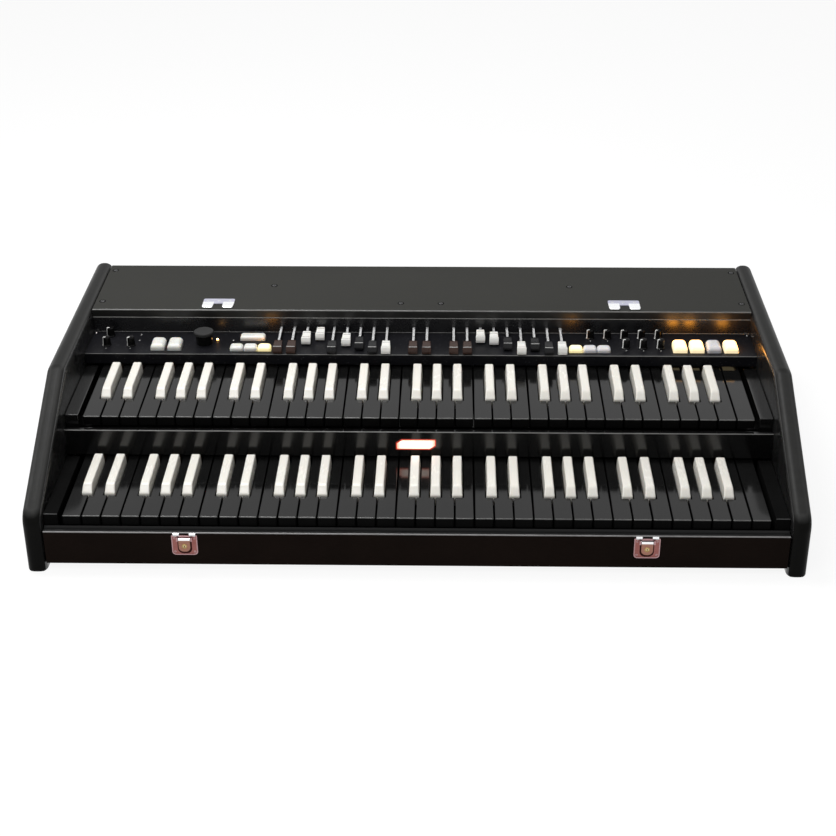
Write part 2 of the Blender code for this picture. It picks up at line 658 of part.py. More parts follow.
def drawbar(name, cx, setting, mat):
    """A drawbar: tapered cap, flat stem through the wall, carriage behind it."""
    y = BAR_OUT_Y + (BAR_STEPS - setting) * BAR_TRAVEL / BAR_STEPS
    base = DECK_TOP + CAP_LIFT
    top = base + CAP_HEIGHT
    stem0, stem1 = STEM_Z - STEM_THICK / 2.0, STEM_Z + STEM_THICK / 2.0
    ease = CAP_EASE
    rear = y + CAP_LENGTH
    carriage = y + (WALL_FACE + SHEET + CARRIAGE_GAP - BAR_OUT_Y)
    low, high = STEM_Z - CARRIAGE_HEIGHT / 2.0, STEM_Z + CARRIAGE_HEIGHT / 2.0
    sections = [
        (y, CAP_WIDTH - 2.0 * ease, base + ease, top - ease),
        (y + ease, CAP_WIDTH, base, top),
        (rear, CAP_WIDTH - CAP_TAPER, base + CAP_DIP, top - CAP_DIP),
        (rear, STEM_WIDTH, stem0, stem1),
        (carriage, STEM_WIDTH, stem0, stem1),
        (carriage, CARRIAGE_WIDTH, low, high),
        (carriage + CARRIAGE_LENGTH, CARRIAGE_WIDTH, low, high),
    ]
    rings = []
    for at, width, z0, z1 in sections:
        half = width / 2.0
        rings.append([(cx - half, at, z0), (cx + half, at, z0), (cx + half, at, z1), (cx - half, at, z1)])
    return set_pivot(loft(name, rings, mat), cx, y, STEM_Z)


def small_knob(name, x, y, mat):
    """A small round knob on its shaft."""
    foot = DECK_TOP + SEAT
    profile = [
        (SHAFT_R, DECK_TOP - SHAFT_LENGTH), (SHAFT_R, foot), (KNOB_R, foot),
        (KNOB_R * 0.96, foot + KNOB_HEIGHT * 0.35),
        (KNOB_R * 0.86, foot + KNOB_HEIGHT - 1.0 * MM), (KNOB_R * 0.74, foot + KNOB_HEIGHT),
    ]
    return set_pivot(smooth(lathe(name, x, y, profile, 16, mat), 35.0), x, y, DECK_TOP)


def encoder_knob(mat):
    """The large selector knob: narrow body under a wide flat disc."""
    foot = DECK_TOP + SEAT
    top = foot + ENCODER_HEIGHT
    low = top - ENCODER_DISC
    ease = 0.7 * MM
    profile = [
        (SHAFT_R, DECK_TOP - SHAFT_LENGTH), (SHAFT_R, foot), (ENCODER_BODY_R, foot),
        (ENCODER_BODY_R + ease, low), (ENCODER_R - ease, low + ease), (ENCODER_R, low + 2.0 * ease),
        (ENCODER_R, top - ease), (ENCODER_R - ease, top),
    ]
    x, y = -ENCODER_X, DECK_FRONT + ENCODER_ROW
    return set_pivot(smooth(lathe("encoder_knob", x, y, profile, 24, mat), 35.0), x, y, DECK_TOP)


def cap_outline(cx, y0, y1, width, inset, rear_round):
    """Plan of a button cap: square front corners and rounded rear corners."""
    half = width / 2.0 - inset
    front, rear = y0 + inset, y1 - inset
    ease = 0.8 * MM
    points = [(cx - half + ease, front), (cx + half - ease, front), (cx + half, front + ease)]
    arc = []
    for k in range(4):
        a = math.pi / 2.0 * k / 3
        arc.append((half - rear_round + rear_round * math.cos(a), rear - rear_round + rear_round * math.sin(a)))
    points += [(cx + dx, y) for dx, y in arc]
    points += [(cx - dx, y) for dx, y in reversed(arc)]
    points.append((cx - half, front + ease))
    return points


def push_cap(name, cx, y0, y1, width, height, rear_round, mat):
    """A button body with an eased top edge, reaching into its opening in the deck."""
    top = DECK_TOP + height
    rings = []
    for inset, z in ((0.0, DECK_TOP - CAP_SINK), (0.0, top - 1.2 * MM), (0.35 * MM, top - 0.35 * MM),
                     (1.2 * MM, top)):
        rings.append([(x, y, z) for x, y in cap_outline(cx, y0, y1, width, inset, rear_round)])
    return smooth(loft(name, rings, mat), 50.0)


def rocker_tab(name, cx, mat):
    """A long tab that rocks about its rear edge."""
    front = DECK_FRONT + TAB_ROW
    rear = front + TAB_LENGTH
    obj = push_cap(name, cx, front, rear, TAB_WIDTH, TAB_HEIGHT, TAB_WIDTH * 0.27, mat)
    return set_pivot(obj, cx, rear - TAB_HINGE, DECK_TOP - SHEET / 2.0)


def push_button(name, cx, y0, width, mat):
    """A short push button."""
    obj = push_cap(name, cx, y0, y0 + BUTTON_LENGTH, width, BUTTON_HEIGHT, BUTTON_LENGTH * 0.28, mat)
    return set_pivot(obj, cx, y0 + BUTTON_LENGTH / 2.0, DECK_TOP)


# Keys
def key_edge(index):
    """X of the line between two naturals, counted from the bottom of the keyboard."""
    return index * NATURAL_PITCH - KEYS_HALF


def sharp_at(index):
    """X of the sharp that stands over a line between naturals, or None."""
    shift = {1: -0.09, 2: 0.09, 4: -0.11, 5: 0.0, 6: 0.13}
    step = index % 7
    if index <= 0 or index >= NATURALS or step not in shift:
        return None
    return key_edge(index) + shift[step] * NATURAL_PITCH


def natural_tail(index):
    """Left and right limits of a natural at its head and behind it."""
    reach = SHARP_WIDTH / 2.0 + SHARP_CLEAR
    left, right = key_edge(index) + KEY_GAP / 2.0, key_edge(index + 1) - KEY_GAP / 2.0
    below, above = sharp_at(index), sharp_at(index + 1)
    tail_left = left if below is None else below + reach
    tail_right = right if above is None else above - reach
    return left, right, tail_left, tail_right


def naturals(name, setback, rise, mat):
    """All naturals of one manual, joined behind the pivot by their rail."""
    notch = HEAD_LENGTH - SHARP_CLEAR
    rear = SHARP_REAR + BODY_REAR
    verts, faces = [], []
    for i in range(NATURALS):
        left, right, a, b = natural_tail(i)
        plan = [(left, 0.0), (right, 0.0), (right, notch)]
        if b < right:
            plan.append((b, notch))
        plan += [(b, rear), (a, rear)]
        if a > left:
            plan.append((a, notch))
        plan.append((left, notch))
        add_rings(verts, faces, [[(x, y + setback, z + rise) for x, y in plan] for z in (-NATURAL_THICK, 0.0)])
    obj = make(name, verts, faces, mat)
    rail0 = PIVOT_Y + PIVOT_RAIL / 2.0
    rail1 = rail0 + TAIL_RAIL
    comb = []
    for i in range(NATURALS):
        _left, _right, a, b = natural_tail(i)
        a, b = a + TAIL_INSET, b - TAIL_INSET
        comb += [(a, rail0), (a, rear - COMB_LAP), (b, rear - COMB_LAP), (b, rail0)]
    first, last = comb[0][0], comb[-1][0]
    comb = comb[1:-1] + [(last, rail1), (first, rail1)]
    rings = [[(x, y + setback, z + rise) for x, y in comb] for z in (-NATURAL_THICK, -TAIL_TOP)]
    combine(obj, loft("comb", rings), "UNION")
    return set_pivot(tidy(obj), 0.0, setback + PIVOT_Y, rise + PIVOT_Z)


def sharps(name, setback, rise, mat):
    """All sharps of one manual, joined by a rail that crosses above the naturals' tails."""
    wide, slim, lever = SHARP_WIDTH / 2.0, SHARP_TOP_WIDTH / 2.0, LEVER_WIDTH / 2.0
    low, high = 0.5 * MM - NATURAL_THICK, SHARP_HEIGHT
    mid = -NATURAL_THICK / 2.0
    tail = PIVOT_Y + PIVOT_RAIL / 4.0
    sections = [
        (HEAD_LENGTH, wide, low, wide, 0.0, wide - 0.2 * MM, 0.4 * MM),
        (HEAD_LENGTH + SHARP_HEIGHT, wide, low, wide, 0.0, slim, high),
        (SHARP_REAR, wide, low, wide, 0.0, slim, high),
        (SHARP_REAR, lever, -NATURAL_THICK, lever, mid, lever, -LEVER_TOP),
        (tail, lever, -NATURAL_THICK, lever, mid, lever, -LEVER_TOP),
    ]
    verts, faces = [], []
    centres = [sharp_at(i) for i in range(NATURALS) if sharp_at(i) is not None]
    for cx in centres:
        rings = []
        for y, w0, z0, w1, z1, w2, z2 in sections:
            right = [(w0, z0), (w1, z1), (w2, z2)]
            ring = right + [(-w, z) for w, z in reversed(right)]
            rings.append([(cx + x, y + setback, z + rise) for x, z in ring])
        add_rings(verts, faces, rings)
    obj = make(name, verts, faces, mat)
    front = setback + SHARP_REAR + CROSS_GAP
    low = rise - LEVER_TOP - CROSS_SINK
    rail = box("rail", centres[0] - CROSS_SIDE, centres[-1] + CROSS_SIDE, front, front + CROSS_DEPTH, low,
               low + CROSS_HEIGHT)
    combine(obj, rail, "UNION")
    return set_pivot(tidy(obj), 0.0, setback + PIVOT_Y, rise + PIVOT_Z)


# Latch tongues
def latch_lever(name, cx, mat):
    """Latch lever: rounded tongue hung from a round top edge, with a raised key barrel."""
    rear = PLATE_FACE - SEAT
    front = rear - LEVER_THICK
    radius = LEVER_THICK / 2.0
    half = TONGUE_WIDTH / 2.0
    pivot_z = -LIP_DROP - PLATE_DROP - TONGUE_DROP
    bottom = pivot_z - TONGUE_LENGTH
    mid = (rear + front) / 2.0
    side = []
    for k in range(7):
        a = math.pi * k / 6
        side.append((mid - radius * math.cos(a), pivot_z + radius * math.sin(a)))
    side += [(rear, bottom), (front, bottom)]
    obj = loft(name, [[(cx + x, y, z) for y, z in side] for x in (-half, half)], mat)
    reach = TONGUE_ROUND
    for sgn in (-1, 1):
        corner = [(half + 1.0 * MM, bottom - 1.0 * MM), (half + 1.0 * MM, bottom + reach)]
        for k in range(5):
            a = math.pi / 2.0 * k / 4
            corner.append((half - reach + reach * math.cos(a), bottom + reach - reach * math.sin(a)))
        corner.append((half - reach, bottom - 1.0 * MM))
        rings = [[(cx + sgn * x, y, z) for x, z in corner] for y in (rear + 1.0 * MM, front - 1.0 * MM)]
        combine(obj, loft("corner", rings), "DIFFERENCE")
    middle = pivot_z - BARREL_DROP
    rings = []
    for y in (front + 0.5 * MM, front - BARREL_STAND):
        rings.append([(cx + dx, y, middle + dz) for dx, dz in circle(BARREL_R, 12)])
    combine(obj, loft("barrel", rings), "UNION")
    return set_pivot(tidy(obj), cx, mid, pivot_z)


def bar_finish(group, number, mats):
    """Cap material of a drawbar: brown, white or black."""
    if group == "pedal" or number <= 2:
        return mats["brown"]
    if number in (5, 7, 8):
        return mats["black"]
    return mats["white"]


def main():
    """Build every piece of the organ."""
    clear_scene()
    bars = {
        "brown": finish("drawbar_brown", (0.06, 0.025, 0.015), 0.35),
        "white": finish("drawbar_white", (0.86, 0.85, 0.80), 0.35),
        "black": finish("drawbar_black", (0.015, 0.015, 0.016), 0.35),
    }
    side_panel("side_panel_left", -1, finish("side_black_left", (0.018, 0.018, 0.019), 0.5))
    side_panel("side_panel_right", 1, finish("side_black_right", (0.018, 0.018, 0.019), 0.5))
    base_frame(finish("base_black", (0.02, 0.02, 0.02), 0.7))
    upper_key_frame(finish("divider_gloss", (0.012, 0.012, 0.013), 0.15))
    front_board(finish("front_black", (0.016, 0.013, 0.012), 0.45))
    rear_panel(finish("rear_black", (0.02, 0.02, 0.02), 0.6))
    top_board(finish("top_black", (0.045, 0.045, 0.04), 0.7))
    control_panel(finish("panel_gloss", (0.014, 0.014, 0.017), 0.2))
    drawbar_card(finish("circuit_green", (0.03, 0.12, 0.05), 0.5))
    for x, group, number, setting in bar_columns():
        drawbar(f"drawbar_{group}_{number}", x, setting, bar_finish(group, number, bars))
    knob = finish("knob_black", (0.014, 0.014, 0.014), 0.25)
    for name, x, y in knob_spots():
        small_knob(name, x, y, knob)
    encoder_knob(finish("encoder_grey", (0.06, 0.06, 0.06), 0.6))
    tab = finish("tab_white", (0.85, 0.84, 0.78), 0.3)
    for name, x in tab_spots():
        rocker_tab(name, x, tab)
    button = finish("button_white", (0.86, 0.84, 0.8), 0.3)
    for name, x, y, width in button_spots():
        push_button(name, x, y, width, button)
    black_key = finish("natural_black", (0.01, 0.01, 0.011), 0.12)
    ivory_key = finish("sharp_ivory", (0.84, 0.82, 0.72), 0.25)
    naturals("lower_naturals", 0.0, 0.0, black_key)
    sharps("lower_sharps", 0.0, 0.0, ivory_key)
    naturals("upper_naturals", MANUAL_SETBACK, MANUAL_RISE, black_key)
    sharps("upper_sharps", MANUAL_SETBACK, MANUAL_RISE, ivory_key)
    nickel = finish("latch_nickel", (0.75, 0.73, 0.71), 0.25, 1.0)
    latch_lever("latch_lever_left", -LATCH_X, nickel)
    latch_lever("latch_lever_right", LATCH_X, nickel)


main()
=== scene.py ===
"""Looks of a portable two-manual drawbar organ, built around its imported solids.

Sizes are millimetres in the organ's own frame: x along the keyboards, depth behind
the lower key fronts, height above the lower naturals' top. Shape.build() turns them
into metres with +Z up and the origin on the floor under the middle of the organ.
"""
import json
import logging
import math
from contextlib import contextmanager
from dataclasses import dataclass, field
from enum import Enum
from functools import cache
from typing import Callable, Iterable, Iterator, Optional, Sequence

import bmesh
import bpy
from mathutils import Matrix, Vector

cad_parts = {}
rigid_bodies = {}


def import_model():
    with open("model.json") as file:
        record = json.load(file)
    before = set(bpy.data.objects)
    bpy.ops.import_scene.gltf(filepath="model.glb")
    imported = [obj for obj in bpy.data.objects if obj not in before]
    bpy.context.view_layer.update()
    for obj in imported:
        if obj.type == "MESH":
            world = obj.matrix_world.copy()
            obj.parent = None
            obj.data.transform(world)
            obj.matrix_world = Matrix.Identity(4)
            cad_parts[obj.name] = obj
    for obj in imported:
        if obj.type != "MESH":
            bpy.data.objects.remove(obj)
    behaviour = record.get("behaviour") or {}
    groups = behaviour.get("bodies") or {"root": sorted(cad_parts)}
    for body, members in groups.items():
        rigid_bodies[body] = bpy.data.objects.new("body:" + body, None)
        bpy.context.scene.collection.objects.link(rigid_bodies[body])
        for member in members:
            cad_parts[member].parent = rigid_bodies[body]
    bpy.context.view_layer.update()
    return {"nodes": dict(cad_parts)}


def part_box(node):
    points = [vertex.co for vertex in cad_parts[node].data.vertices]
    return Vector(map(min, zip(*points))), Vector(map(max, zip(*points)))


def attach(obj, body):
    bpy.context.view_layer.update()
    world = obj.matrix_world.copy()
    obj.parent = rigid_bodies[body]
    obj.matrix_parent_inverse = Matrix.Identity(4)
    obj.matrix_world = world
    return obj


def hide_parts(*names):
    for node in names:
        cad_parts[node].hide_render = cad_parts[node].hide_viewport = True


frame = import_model()

log = logging.getLogger("organ")

Point = tuple[float, float, float]
Plan = list[tuple[float, float]]
Ring = list[Point]
Colour = tuple[float, float, float]
Sizes = tuple[float, ...]
Pairs = tuple[tuple[float, float], ...]
Rows = tuple[Sizes, ...]
Tree = bpy.types.NodeTree
Socket = bpy.types.NodeSocket
Object = bpy.types.Object

MM = 0.001
FLOOR = 73.5          # floor to the lower naturals' top
MIDDLE = 253.5        # lower key fronts to the middle of the organ
DECK = 71.3           # height of the control panel's deck
SEAT = 0.3            # gap between pieces that touch

INNER_RADIUS = (1.0, 0.8, 0.6)    # how far red, green and blue light spreads inside pale plastic
SCUFF_ROUGH = 0.25                # roughness that a scuff adds
GLOW_CORNER = 0.15                # rounding of the bright middle of a lit face
GLOW_ROUGH = (0.25, 0.34)
SHARP_ANGLE = 35.0                # edges turned by more degrees than this stay sharp
SKIN = 0.2                        # a face whose middle is this near to a plane lies in it
NEAR = 1.02                       # a little more than the whole of a rounding
UPRIGHT = (0.0, 0.0, 0.0)
TO_FRONT = (math.pi / 2.0, 0.0, 0.0)
TO_REAR = (-math.pi / 2.0, 0.0, 0.0)
DOWNWARD = (math.pi, 0.0, 0.0)


class Side(Enum):
    """Left and right side of the organ, as the sign of x."""

    LEFT = -1
    RIGHT = 1


class Lamp(Enum):
    """How a translucent cap is lit from inside."""

    OFF = "off"
    AMBER = "amber"
    YELLOW = "yellow"


# Node trees
def wire(tree: Tree, kind: str, links: Optional[dict] = None,
         **props: object) -> bpy.types.Node:
    """Add one node to a tree.

    Args:
        tree: shader or geometry tree.
        kind: the node's type name.
        links: input name or number to a value or to another node's output.
        **props: properties set on the node before its inputs.

    Returns:
        The new node.
    """
    node = tree.nodes.new(kind)
    for key, value in props.items():
        setattr(node, key, value)
    for key, value in (links or {}).items():
        if isinstance(value, Socket):
            tree.links.new(value, node.inputs[key])
        else:
            node.inputs[key].default_value = value
    return node


def calc(tree: Tree, how: str, *values: object) -> Socket:
    """Work out one sum, such as a MULTIPLY of two values or sockets."""
    return wire(tree, "ShaderNodeMath", dict(enumerate(values)), operation=how).outputs[0]


def noise(tree: Tree, vector: Socket, scale: object, detail: float,
          rough: float = 0.5) -> Socket:
    """Add a noise texture.

    Args:
        tree: the shader tree.
        vector: the coordinates that it reads.
        scale: value or socket.
        detail: its detail.
        rough: how strong the fine detail is.

    Returns:
        The socket of its value.
    """
    return wire(tree, "ShaderNodeTexNoise", {"Vector": vector, "Scale": scale, "Detail": detail,
                                             "Roughness": rough}).outputs[0]


def blend_colour(tree: Tree, amount: object, first: object,
                 second: object) -> Socket:
    """Mix two colours.

    Args:
        tree: the shader tree.
        amount: value or socket, 0 gives the first colour.
        first: colour or socket.
        second: colour or socket.

    Returns:
        The mixed colour's socket.
    """
    first = (*first, 1.0) if isinstance(first, tuple) else first
    second = (*second, 1.0) if isinstance(second, tuple) else second
    return wire(tree, "ShaderNodeMix", {0: amount, 6: first, 7: second}, data_type="RGBA").outputs[2]


def map_range(tree: Tree, value: object, low: float, high: float, to_low: float = 0.0,
              to_high: float = 1.0) -> Socket:
    """Map a value from one range to another, held to its ends.

    Args:
        tree: the shader tree.
        value: value or socket.
        low: start of the range it comes from.
        high: end of that range.
        to_low: start of the range it goes to.
        to_high: end of that range.

    Returns:
        The mapped value's socket.
    """
    return wire(tree, "ShaderNodeMapRange", {0: value, 1: low, 2: high, 3: to_low, 4: to_high}).outputs[0]


class Effect:
    """A shader node group that several materials share."""

    def __init__(self, name: str, inputs: dict[str, object], outputs: Sequence[str]) -> None:
        """Make the empty group.

        Args:
            name: the group's name.
            inputs: socket name to its default, a number or a vector.
            outputs: names of the numbers that it gives.
        """
        self.tree = bpy.data.node_groups.new(name, "ShaderNodeTree")
        face = self.tree.interface
        for label, default in inputs.items():
            kind = "NodeSocketVector" if isinstance(default, tuple) else "NodeSocketFloat"
            face.new_socket(label, in_out="INPUT", socket_type=kind).default_value = default
        for label in outputs:
            face.new_socket(label, in_out="OUTPUT", socket_type="NodeSocketFloat")
        self.given = self.tree.nodes.new("NodeGroupInput").outputs
        self.sink = self.tree.nodes.new("NodeGroupOutput")

    def close(self, **sockets: Socket) -> "Effect":
        """Link the group's outputs.

        Args:
            **sockets: the socket for each output's name.

        Returns:
            This group.
        """
        for label, socket in sockets.items():
            self.tree.links.new(socket, self.sink.inputs[label])
        return self

    def place(self, tree: Tree, **values: object) -> bpy.types.Node:
        """Put the group into a material's tree, with values or sockets for its inputs."""
        return wire(tree, "ShaderNodeGroup", values, node_tree=self.tree)

    def stretched(self) -> tuple[Socket, Socket]:
        """Read the piece's own coordinates.

        Returns:
            The coordinates, and the same drawn out by the input Stretch.
        """
        coords = wire(self.tree, "ShaderNodeTexCoord").outputs["Object"]
        drawn = wire(self.tree, "ShaderNodeVectorMath", {0: coords, 1: self.given["Stretch"]},
                     operation="MULTIPLY")
        return coords, drawn.outputs[0]


def grain_effect() -> Effect:
    """Fine surface grain with slow patches.

    Returns:
        The group, which gives a shade, the grain's height and the patches.
    """
    effect = Effect("surface_grain", {"Stretch": (1.0, 1.0, 1.0), "Scale": 600.0, "Patch": 20.0},
                    ("Shade", "Height", "Patches"))
    tree, given = effect.tree, effect.given
    coords, drawn = effect.stretched()
    fine = noise(tree, drawn, given["Scale"], 3.0, 0.55)
    slow = noise(tree, coords, given["Patch"], 2.0)
    return effect.close(Shade=map_range(tree, fine, 0.3, 0.7), Height=fine,
                        Patches=map_range(tree, slow, 0.35, 0.65))


def scuff_effect() -> Effect:
    """Sparse hairline scuffs where hands and cloths wear the surface.

    Returns:
        The group, which gives a mask.
    """
    effect = Effect("hairline_scuffs", {"Stretch": (1.0, 12.0, 12.0), "Scale": 60.0, "Amount": 0.2},
                    ("Mask",))
    tree, given = effect.tree, effect.given
    coords, drawn = effect.stretched()
    lines = map_range(tree, noise(tree, drawn, given["Scale"], 5.0, 0.7), 0.62, 0.72)
    where = map_range(tree, noise(tree, coords, 18.0, 1.0), 0.5, 0.62)
    return effect.close(Mask=calc(tree, "MULTIPLY", calc(tree, "MULTIPLY", lines, where), given["Amount"]))


def speck_effect() -> Effect:
    """Small round specks, such as metal flakes or dust, in random cells.

    Returns:
        The group, which gives a mask.
    """
    effect = Effect("specks", {"Scale": 500.0, "Share": 0.1, "Size": 0.25}, ("Mask",))
    tree, given = effect.tree, effect.given
    coords = wire(tree, "ShaderNodeTexCoord").outputs["Object"]
    cells = wire(tree, "ShaderNodeTexVoronoi", {"Vector": coords, "Scale": given["Scale"]}).outputs
    chance = wire(tree, "ShaderNodeSeparateColor", {0: cells["Color"]}).outputs[0]
    chosen = calc(tree, "LESS_THAN", chance, given["Share"])
    near = calc(tree, "LESS_THAN", cells["Distance"], given["Size"])
    return effect.close(Mask=calc(tree, "MULTIPLY", chosen, near))


def slope_sheen_effect() -> Effect:
    """Painted sheen: a mask strongest where a surface slopes down towards the player and weaker on level
    tops, so those faces are painted lighter as if lit.

    Returns:
        The group, which gives a mask.
    """
    effect = Effect("rubbed_slopes", {"Amount": 0.5}, ("Mask",))
    tree = effect.tree
    coords = wire(tree, "ShaderNodeTexCoord").outputs
    lift = wire(tree, "ShaderNodeSeparateXYZ", {0: coords["Normal"]}).outputs[2]
    cloud = noise(tree, coords["Object"], 90.0, 4.0, 0.7)
    mask = effect.given["Amount"]
    for level in (map_range(tree, lift, 0.45, 0.8), map_range(tree, lift, 0.8, 1.0, 1.0, 0.25),
                  map_range(tree, cloud, 0.3, 0.7, 0.8, 1.0)):
        mask = calc(tree, "MULTIPLY", mask, level)
    return effect.close(Mask=mask)


@dataclass
class Effects:
    """The shared shader groups."""

    grain: Effect = field(default_factory=grain_effect)
    scuffs: Effect = field(default_factory=scuff_effect)
    specks: Effect = field(default_factory=speck_effect)
    # painted sheen on sloping faces
    slope_sheen: Effect = field(default_factory=slope_sheen_effect)


@cache
def effects() -> Effects:
    """The shared shader groups, built when first asked for."""
    return Effects()


@dataclass(frozen=True)
class Coating:
    """What every finish has: a name, and a material that is built once."""

    name: str

    def dress(self, mat: bpy.types.Material) -> None:
        """Set up the material's nodes; each kind of finish has its own way."""
        raise NotImplementedError

    def material(self) -> bpy.types.Material:
        """Build the material once.

        Returns:
            The material.
        """
        known = bpy.data.materials.get(self.name)
        if known is not None and known.get("organ"):
            return known
        mat = bpy.data.materials.new(self.name)
        mat["organ"] = True
        mat.use_nodes = True
        self.dress(mat)
        return mat

    @staticmethod
    def emboss(tree: Tree, grain: bpy.types.Node, depth: float) -> None:
        """Press the grain into the surface.

        Args:
            tree: the material's tree.
            grain: the placed grain group.
            depth: depth of the grain in millimetres.
        """
        bump = wire(tree, "ShaderNodeBump", {"Height": grain.outputs["Height"], "Strength": 1.0,
                                             "Distance": depth * MM})
        tree.links.new(bump.outputs[0], tree.nodes["Principled BSDF"].inputs["Normal"])


@dataclass(frozen=True)
class Finish(Coating):
    """One surface finish: two tones, a range of roughness, grain, scuffs, specks and a painted sheen on
    sloping faces.
    """

    dark: Colour
    light: Colour
    rough: tuple[float, float] = (0.3, 0.42)
    grain: float = 900.0
    stretch: Point = (1.0, 1.0, 1.0)
    bump: float = 0.01
    patch: float = 20.0
    metal: float = 0.0
    specular: float = 0.5
    scuff: float = 0.0
    scuff_tone: Colour = (0.2, 0.2, 0.2)
    speck: float = 0.0
    speck_scale: float = 500.0
    speck_tone: Colour = (0.3, 0.3, 0.32)
    inner: float = 0.0
    # painted sheen: its strength, and the lighter tone that sloping faces get in place of light
    slope_sheen: float = 0.0
    slope_sheen_tone: Colour = (0.05, 0.05, 0.05)

    def dress(self, mat: bpy.types.Material) -> None:
        """Set up the nodes.

        Args:
            mat: the new material.
        """
        mat.diffuse_color = (*self.light, 1.0)
        tree = mat.node_tree
        sockets = tree.nodes["Principled BSDF"].inputs
        sockets["Metallic"].default_value = self.metal
        sockets["Specular IOR Level"].default_value = self.specular
        if self.inner:
            sockets["Subsurface Weight"].default_value = self.inner
            sockets["Subsurface Radius"].default_value = INNER_RADIUS
            sockets["Subsurface Scale"].default_value = 2.0 * MM
        shared = effects()
        grain = shared.grain.place(tree, Scale=self.grain, Stretch=self.stretch, Patch=self.patch)
        mixed = calc(tree, "ADD", grain.outputs["Shade"], grain.outputs["Patches"])
        tone = calc(tree, "MULTIPLY", mixed, 0.5)
        colour = blend_colour(tree, tone, self.dark, self.light)
        rough = map_range(tree, tone, 0.0, 1.0, *self.rough)
        if self.scuff:
            mask = shared.scuffs.place(tree, Amount=self.scuff).outputs["Mask"]
            colour = blend_colour(tree, mask, colour, self.scuff_tone)
            rough = calc(tree, "MULTIPLY_ADD", mask, SCUFF_ROUGH, rough)
        if self.speck:
            mask = shared.specks.place(tree, Scale=self.speck_scale, Share=self.speck).outputs["Mask"]
            colour = blend_colour(tree, mask, colour, self.speck_tone)
        # painted sheen: sloping faces are painted lighter, as if lit
        if self.slope_sheen:
            mask = shared.slope_sheen.place(tree, Amount=self.slope_sheen).outputs["Mask"]
            colour = blend_colour(tree, mask, colour, self.slope_sheen_tone)
        tree.links.new(colour, sockets["Base Color"])
        tree.links.new(rough, sockets["Roughness"])
        self.emboss(tree, grain, self.bump)


@dataclass(frozen=True)
class Glow(Coating):
    """A translucent cap or lens lit from inside: hot in the middle of its face, tinted at its rim."""

    core: Colour
    rim: Colour
    strength: float
    body: Colour = (0.8, 0.72, 0.55)
    spread: tuple[float, float] = (0.25, 0.5)

    def dress(self, mat: bpy.types.Material) -> None:
        """Set up the nodes, which read the piece's UV map.

        Args:
            mat: the new material.
        """
        tree = mat.node_tree
        sockets = tree.nodes["Principled BSDF"].inputs
        uv = wire(tree, "ShaderNodeUVMap", uv_map="face").outputs[0]
        away = wire(tree, "ShaderNodeVectorMath", {0: uv, 1: (0.5, 0.5, 0.0)}, operation="SUBTRACT")
        size = wire(tree, "ShaderNodeVectorMath", {0: away.outputs[0]}, operation="ABSOLUTE")
        parts = wire(tree, "ShaderNodeSeparateXYZ", {0: size.outputs[0]}).outputs
        edge = map_range(tree, calc(tree, "SMOOTH_MAX", parts[0], parts[1], GLOW_CORNER), *self.spread)
        grain = effects().grain.place(tree, Scale=900.0, Patch=120.0)
        shaded = tuple(0.94 * part for part in self.body)
        base = blend_colour(tree, grain.outputs["Shade"], self.body, shaded)
        rough = map_range(tree, grain.outputs["Patches"], 0.0, 1.0, *GLOW_ROUGH)
        tree.links.new(base, sockets["Base Color"])
        tree.links.new(rough, sockets["Roughness"])
        tree.links.new(blend_colour(tree, edge, self.core, self.rim), sockets["Emission Color"])
        sockets["Emission Strength"].default_value = self.strength
        self.emboss(tree, grain, 0.01)


def paint(*finishes: Coating) -> list[bpy.types.Material]:
    """Materials of the finishes named."""
    return [finish.material() for finish in finishes]


# Meshes
def spot(x: float, y: float, z: float) -> Vector:
    """Turn a place in the organ's frame into metres."""
    return Vector((x * MM, (y - MIDDLE) * MM, (z + FLOOR) * MM))


def placed(name: str, data: bpy.types.ID) -> Object:
    """Make an object of some data and put it into the scene.

    Args:
        name: the object's name.
        data: its mesh, camera or light.

    Returns:
        The object.
    """
    obj = bpy.data.objects.new(name, data)
    bpy.context.scene.collection.objects.link(obj)
    return obj


def raw(name: str, verts: Sequence[Sequence[float]], faces: Sequence[Sequence[int]]) -> Object:
    """Make an object of points and faces.

    Args:
        name: the object's name.
        verts: points in metres.
        faces: their numbers, face by face.

    Returns:
        The object.
    """
    mesh = bpy.data.meshes.new(name)
    mesh.from_pydata(verts, [], faces)
    return placed(name, mesh)


@contextmanager
def editing(mesh: bpy.types.Mesh) -> Iterator[bmesh.types.BMesh]:
    """Open a mesh for editing, and write it back at the end.

    Args:
        mesh: the mesh.

    Yields:
        Its editable form.
    """
    bm = bmesh.new()
    bm.from_mesh(mesh)
    yield bm
    bm.to_mesh(mesh)
    bm.free()


def arc(centre: tuple[float, float], radius: float, start: float, end: float, steps: int) -> Plan:
    """Points along a circular arc.

    Args:
        centre: the circle's centre.
        radius: its radius.
        start: first angle in degrees.
        end: last angle in degrees.
        steps: number of pieces between them.

    Returns:
        The points, both ends included.
    """
    points = []
    for k in range(steps + 1):
        a = math.radians(start + (end - start) * k / steps)
        points.append((centre[0] + radius * math.cos(a), centre[1] + radius * math.sin(a)))
    return points


def rounded(x0: float, x1: float, y0: float, y1: float, radii: Sequence[float], steps: int = 4) -> Plan:
    """A rectangle with its own rounding at each corner.

    Args:
        x0: left side.
        x1: right side.
        y0: lower side.
        y1: upper side.
        radii: rounding at lower left, lower right, upper right and upper left.
        steps: pieces in each rounding.

    Returns:
        The outline, anticlockwise.
    """
    a, b, c, d = (max(r, 0.01) for r in radii)
    return (arc((x0 + a, y0 + a), a, 180, 270, steps) + arc((x1 - b, y0 + b), b, 270, 360, steps)
            + arc((x1 - c, y1 - c), c, 0, 90, steps) + arc((x0 + d, y1 - d), d, 90, 180, steps))


